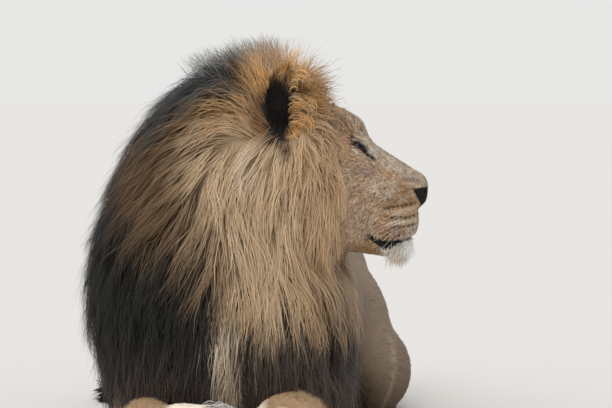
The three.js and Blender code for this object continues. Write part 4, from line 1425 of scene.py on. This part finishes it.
def longLocks(pile, roots, patch, way, colour, look, length=None):
    # free locks that start along way, droop, and curl in the x-z plane by turn
    n = len(roots)
    steps = look["steps"]
    even = np.linspace(0, 1, steps)
    way = unit(way + rng.normal(0, look["frizz"], (n, 3)))
    length = look["length"] if length is None else length
    size = (length * rng.uniform(0.7, 1.2, n))[:, None, None]
    angle = look["turn"] * even[None] * rng.uniform(0.7, 1.3, (n, 1))
    heading = np.stack([way[:, None, 0] * np.cos(angle) + way[:, None, 2] * np.sin(angle),
                        np.repeat(way[:, None, 1], steps, axis=1),
                        way[:, None, 2] * np.cos(angle) - way[:, None, 0] * np.sin(angle)], axis=2)
    halfway = (heading[:, 1:] + heading[:, :-1]) / 2
    run = np.concatenate([np.zeros((n, 1, 3)), np.cumsum(halfway, axis=1)], axis=1)
    s = even[None, :, None]
    path = roots[:, None] + run / (steps - 1) * size + np.array([0, 0, -1.0]) * look["droop"] * size * s ** 2
    path = path + rng.normal(0, 0.06, (n, 1, 3)) * size * s * (1 - s) * 2
    path[:, :, 2] = np.maximum(path[:, :, 2], 0.003)
    normal = unit(fleshSlope(roots)[1])
    up = np.repeat(normal[:, None], steps, axis=1) + np.array([0.01, 0.01, 0.2])
    taper = np.interp(even[:-1], (0, 0.3, 0.8, 1), (0.8, 1.0, 0.7, 0.3))
    shade = np.interp(even, (0, 0.4, 1), look["shades"])
    tone = colour[:, None] * jitter(n, 0.12)[:, None, None] * shade[None, :, None]
    pile.add(path, look["width"] * rng.uniform(0.75, 1.25, (n, 1)) * taper[None], up, tone, patch)


def allOf(tone, roots):
    return np.tile(tone, (len(roots), 1))


earHair = {"count": 2000, "length": 0.040, "width": 0.00095, "steps": 6, "droop": 0.05, "frizz": 0.20,
           "turn": 1.9, "shades": (0.45, 0.9, 1.1)}
earNap = {"count": 1500, "length": 0.020, "width": 0.00090, "steps": 4, "droop": 0.0, "frizz": 0.22,
          "turn": 0.0, "shades": (0.75, 1.0, 1.1)}
# curls of hair in front of each ear: middle x, middle z, reach
earCurls = ((0.143, 0.822, 0.030), (0.142, 0.772, 0.026), (0.140, 0.735, 0.024))


def inEar(p):
    within = ramp(-np.linalg.norm(earPlaces(p) / (0.05, 0.06, 0.08), axis=1), -1.05, -0.95)
    return within * ramp(p[:, 0], earForm["x"] + 0.004, earForm["x"] + 0.014)


def onEarBack(p):
    return earZone(p, 0.96) * (1 - inEar(p))


def makeEarHair(skin, material):
    # hair that fills the ears and curls over their front edge
    pile = Pile()
    roots, patch = scatter(skin, earHair["count"], inEar)
    sign = np.sign(roots[:, 1] - headY)
    away = np.stack([np.hypot(roots[:, 0] - cx, roots[:, 2] - cz) / reach for cx, cz, reach in earCurls])
    nearest = np.array(earCurls)[away.argmin(0)]
    dx, dz = roots[:, 0] - nearest[:, 0], roots[:, 2] - nearest[:, 1]
    n = len(roots)
    around = unit(np.stack([dz + 0.012, np.zeros(n), -dx + 0.004], axis=1))
    way = around * 0.8 + np.stack([np.full(n, 0.25), 0.55 * sign, np.full(n, 0.15)], axis=1)
    share = ramp(noise3(roots, 0.025, 9), -0.4, 0.9)
    colour = mixed(tones["ginger"] * 0.95, tones["pale"] * np.array([0.86, 0.74, 0.58]), share)
    longLocks(pile, roots, patch, way, colour, earHair)
    # short nap on the back of the ear and its rim
    roots, patch = scatter(skin, earNap["count"], onEarBack)
    sign = np.sign(roots[:, 1] - headY)
    way = np.stack([0.02 * sign, 0.45 * sign, np.full(len(roots), 0.9)], axis=1)
    longLocks(pile, roots, patch, way, tuftTone(roots), earNap)
    return pile.build("ear_hair", material)


wisps = {"count": 700, "length": 0.066, "width": 0.00050, "steps": 6, "droop": 0.0, "frizz": 0.30,
         "turn": -0.4, "shades": (0.75, 1.0, 1.12)}


def onCrownTop(p):
    return maneShare(p) * ramp(p[:, 2], 0.80, 0.83) * ramp(-p[:, 0], -0.13, -0.10)


def makeWisps(skin, material):
    # loose grey hairs above the crown
    pile = Pile()
    roots, patch = scatter(skin, wisps["count"], onCrownTop)
    back = -0.35 - 1.5 * (0.06 - roots[:, 0]).clip(0, 0.2)
    way = np.stack([back, 0.2 * np.sign(roots[:, 1] - headY), np.full(len(roots), 0.95)], axis=1)
    longLocks(pile, roots, patch, way, allOf(tones["grey"] * 0.8, roots), wisps)
    return pile.build("crest_wisps", material)


beard = {"count": 1400, "length": 0.013, "longer": 0.007, "sizes": (0.6, 1.0, 1.35), "width": 0.00056,
         "steps": 5, "droop": 0.30, "frizz": 0.36, "turn": 0.0, "shades": (0.92, 1.0, 1.1)}
whiskers = {"count": 32, "length": 0.060, "width": 0.00020, "steps": 8, "droop": 0.22, "frizz": 0.12,
            "turn": 0.0, "shades": (0.9, 1.0, 1.0)}


def onChin(p):
    return onHead(p) * ramp(p[:, 0], 0.330, 0.372) * ramp(-p[:, 2], -0.474, -0.462)


def onWhiskerPad(p):
    # the lower rows, clear of the front lips
    wide = ramp(p[:, 0], 0.318, 0.326) * ramp(-p[:, 0], -0.386, -0.380)
    tall = ramp(p[:, 2], 0.494, 0.500) * ramp(-p[:, 2], -0.540, -0.532)
    return onHead(p) * wide * tall * (np.abs(p[:, 1] - headY) > 0.028)


def makeBeard(skin, material):
    # beard under the chin, pale hair along the lower lip, and whiskers
    pile = Pile()
    roots, patch = scatter(skin, beard["count"], onChin)
    back = ramp(-roots[:, 0], -0.385, -0.345)
    n = len(roots)
    way = np.stack([0.06 - 0.35 * back, 0.35 * (roots[:, 1] - headY) / 0.03, np.full(n, -0.90)], axis=1)
    colour = paint(allOf(tones["chin"], roots), "pale", 0.7 * back)
    length = (beard["length"] + beard["longer"] * back) * rng.choice(beard["sizes"], n)
    longLocks(pile, roots, patch, way, colour, beard, length)
    roots, patch = scatter(skin, whiskers["count"], onWhiskerPad)
    sign = np.sign(roots[:, 1] - headY)
    way = np.stack([np.full(len(roots), -0.80), 0.45 * sign, np.full(len(roots), -0.26)], axis=1)
    longLocks(pile, roots, patch, way, allOf(tones["chin"], roots), whiskers)
    return pile.build("beard", material)


pawHair = {"count": 220, "length": 0.034, "width": 0.0009, "steps": 6, "droop": 0.34, "frizz": 0.14,
           "turn": 0.5, "shades": (0.75, 1.0, 1.12)}


def onPawEnd(p):
    ball = foreLegs["right"]["ball"]
    high = ramp(p[:, 2], ball[2] + 0.010, ball[2] + 0.030)
    return (foreFlesh(p, "right") < 0.004) * ramp(p[:, 0], -0.072, -0.052) * high


def makePawHair(skin, material):
    # dark and grey hair at the end of the crossed paw
    pile = Pile()
    roots, patch = scatter(skin, pawHair["count"], onPawEnd)
    way = np.tile((0.74, -0.12, 0.50), (len(roots), 1))
    grey = (rng.random(len(roots)) < 0.8)[:, None]
    colour = tones["grey"] * 1.3 * grey + tones["chest"] * (1 - grey)
    longLocks(pile, roots, patch, way, colour, pawHair)
    return pile.build("paw_hair", material)


tailHair = {"count": 1500, "length": 0.085, "width": 0.0013, "steps": 6, "droop": 0.08, "frizz": 0.12,
            "turn": 0.0, "shades": (0.75, 1.0, 1.12)}


def onTailEnd(p):
    b = turnedBack(p)
    return ramp(-b[:, 0], 0.385, 0.395) * ramp(-b[:, 1], -1.01, -0.95)


def makeTailHair(skin, material):
    # tuft at the end of the tail
    pile = Pile()
    roots, patch = scatter(skin, tailHair["count"], onTailEnd)
    way = unit(shortFlow(roots)) + unit(fleshSlope(roots)[1]) * 0.28
    longLocks(pile, roots, patch, way, allOf(tones["deep"], roots), tailHair)
    return pile.build("tail_hair", material)


def makeTrim(skin, material):
    return [(makeEarHair(skin, material), "ear_fur"), (makeWisps(skin, material), "mane_ginger"),
            (makeBeard(skin, material), "chin_fur"), (makePawHair(skin, material), "body_fur"),
            (makeTailHair(skin, material), "mane_dark")]


# the eyeball: where it looks, and the angles from there where the rim, the iris and the pupil change
eyeBall = {"radius": 0.0182, "segments": 64, "rings": 40, "look": (0.90, 0.40, 0.02), "bulge": 0.07,
           "iris": (-40, -36), "pupil": (-15, -12)}


def makeEye(side, name):
    middle = np.array([headEye[0], headY + side * headEye[1], headEye[2]])
    bpy.ops.mesh.primitive_uv_sphere_add(segments=eyeBall["segments"], ring_count=eyeBall["rings"],
                                         radius=eyeBall["radius"])
    eye = bpy.context.object
    eye.name = "ball_" + name
    look = np.array(eyeBall["look"]) * (1, side, 1)
    look /= np.linalg.norm(look)
    turn = Vector((0, 0, 1)).rotation_difference(Vector(look)).to_matrix().to_4x4()
    eye.data.transform(turn)
    p = np.empty(len(eye.data.vertices) * 3)
    eye.data.vertices.foreach_get("co", p)
    p = p.reshape(-1, 3)
    angle = np.degrees(np.arccos(np.clip(unit(p) @ look, -1, 1)))
    iris = tones["iris"] * (0.75 + 0.4 * ramp(-angle, -36, -20)[:, None])
    tone = mixed(np.tile(tones["eyeRim"], (len(p), 1)), iris, ramp(-angle, *eyeBall["iris"]))
    tone = paint(tone, "pupil", ramp(-angle, *eyeBall["pupil"]))
    bulge = 1 + eyeBall["bulge"] * ramp(-angle, -40, -10)      # the cornea
    eye.data.vertices.foreach_set("co", (p * bulge[:, None] + middle + homePlace).ravel())
    eye.data.update()
    setTone(eye.data, tone)
    eye.data.polygons.foreach_set("use_smooth", [True] * len(eye.data.polygons))
    eye.data.materials.append(plainMaterial("eye_" + name, eyeFinish))
    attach(eye, "root")
    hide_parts("eye_" + name)


# under the mane the skin is darkened as painted shade in the gaps between strands
skinLook = {"paintedShadeUnderMane": 0.32, "level": 0.98, "face": 0.10}        # how much darker the skin is than its hair
skinParts = ["head", "lower_jaw", "nose", "ear_left", "ear_right", "crown", "neck", "chest", "foreleg_left",
             "foreleg_right", "forepaw_left", "forepaw_right", "trunk", "thigh_left", "thigh_right",
             "shank_left", "shank_right", "hind_foot_left", "hind_foot_right", "tail_base", "tail_middle",
             "tail_tuft"]


def unwrap(skin):
    deselect()
    skin.select_set(True)
    bpy.context.view_layer.objects.active = skin
    bpy.ops.object.mode_set(mode="EDIT")
    bpy.ops.mesh.select_all(action="SELECT")
    bpy.ops.uv.smart_project(angle_limit=math.radians(66), island_margin=0.002)
    bpy.ops.object.mode_set(mode="OBJECT")
    skin.data.uv_layers[0].name = "OFBake"


def toneSkin(skin, places):
    # painted shade: the skin under the mane is darker, so the gaps between strands read as shadow
    tone = tuftTone(places) * (1 - skinLook["paintedShadeUnderMane"] * maneShare(places)[:, None])
    setTone(skin.data, tone * (skinLook["level"] - skinLook["face"] * onHead(places))[:, None])
    skin.data.materials.append(furMaterial("skin"))


makeCamera()
makeLight()
makeFloor()
skin, skinPoints = makeSkin()
stamp("skin %d faces" % len(skin.data.polygons))
unwrap(skin)
toneSkin(skin, skinPoints)
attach(skin, "root")
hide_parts(*skinParts)
stamp("skin tones")
coat = plainMaterial("coat", coatFinish)
for ob, slot in makeMane(skin, coat):
    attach(ob, "root")
stamp("mane")
for ob, slot in makeFur(skin, coat) + makeTrim(skin, coat):
    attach(ob, "root")
stamp("short fur and trim")
makeEye(-1, "right")
makeEye(1, "left")
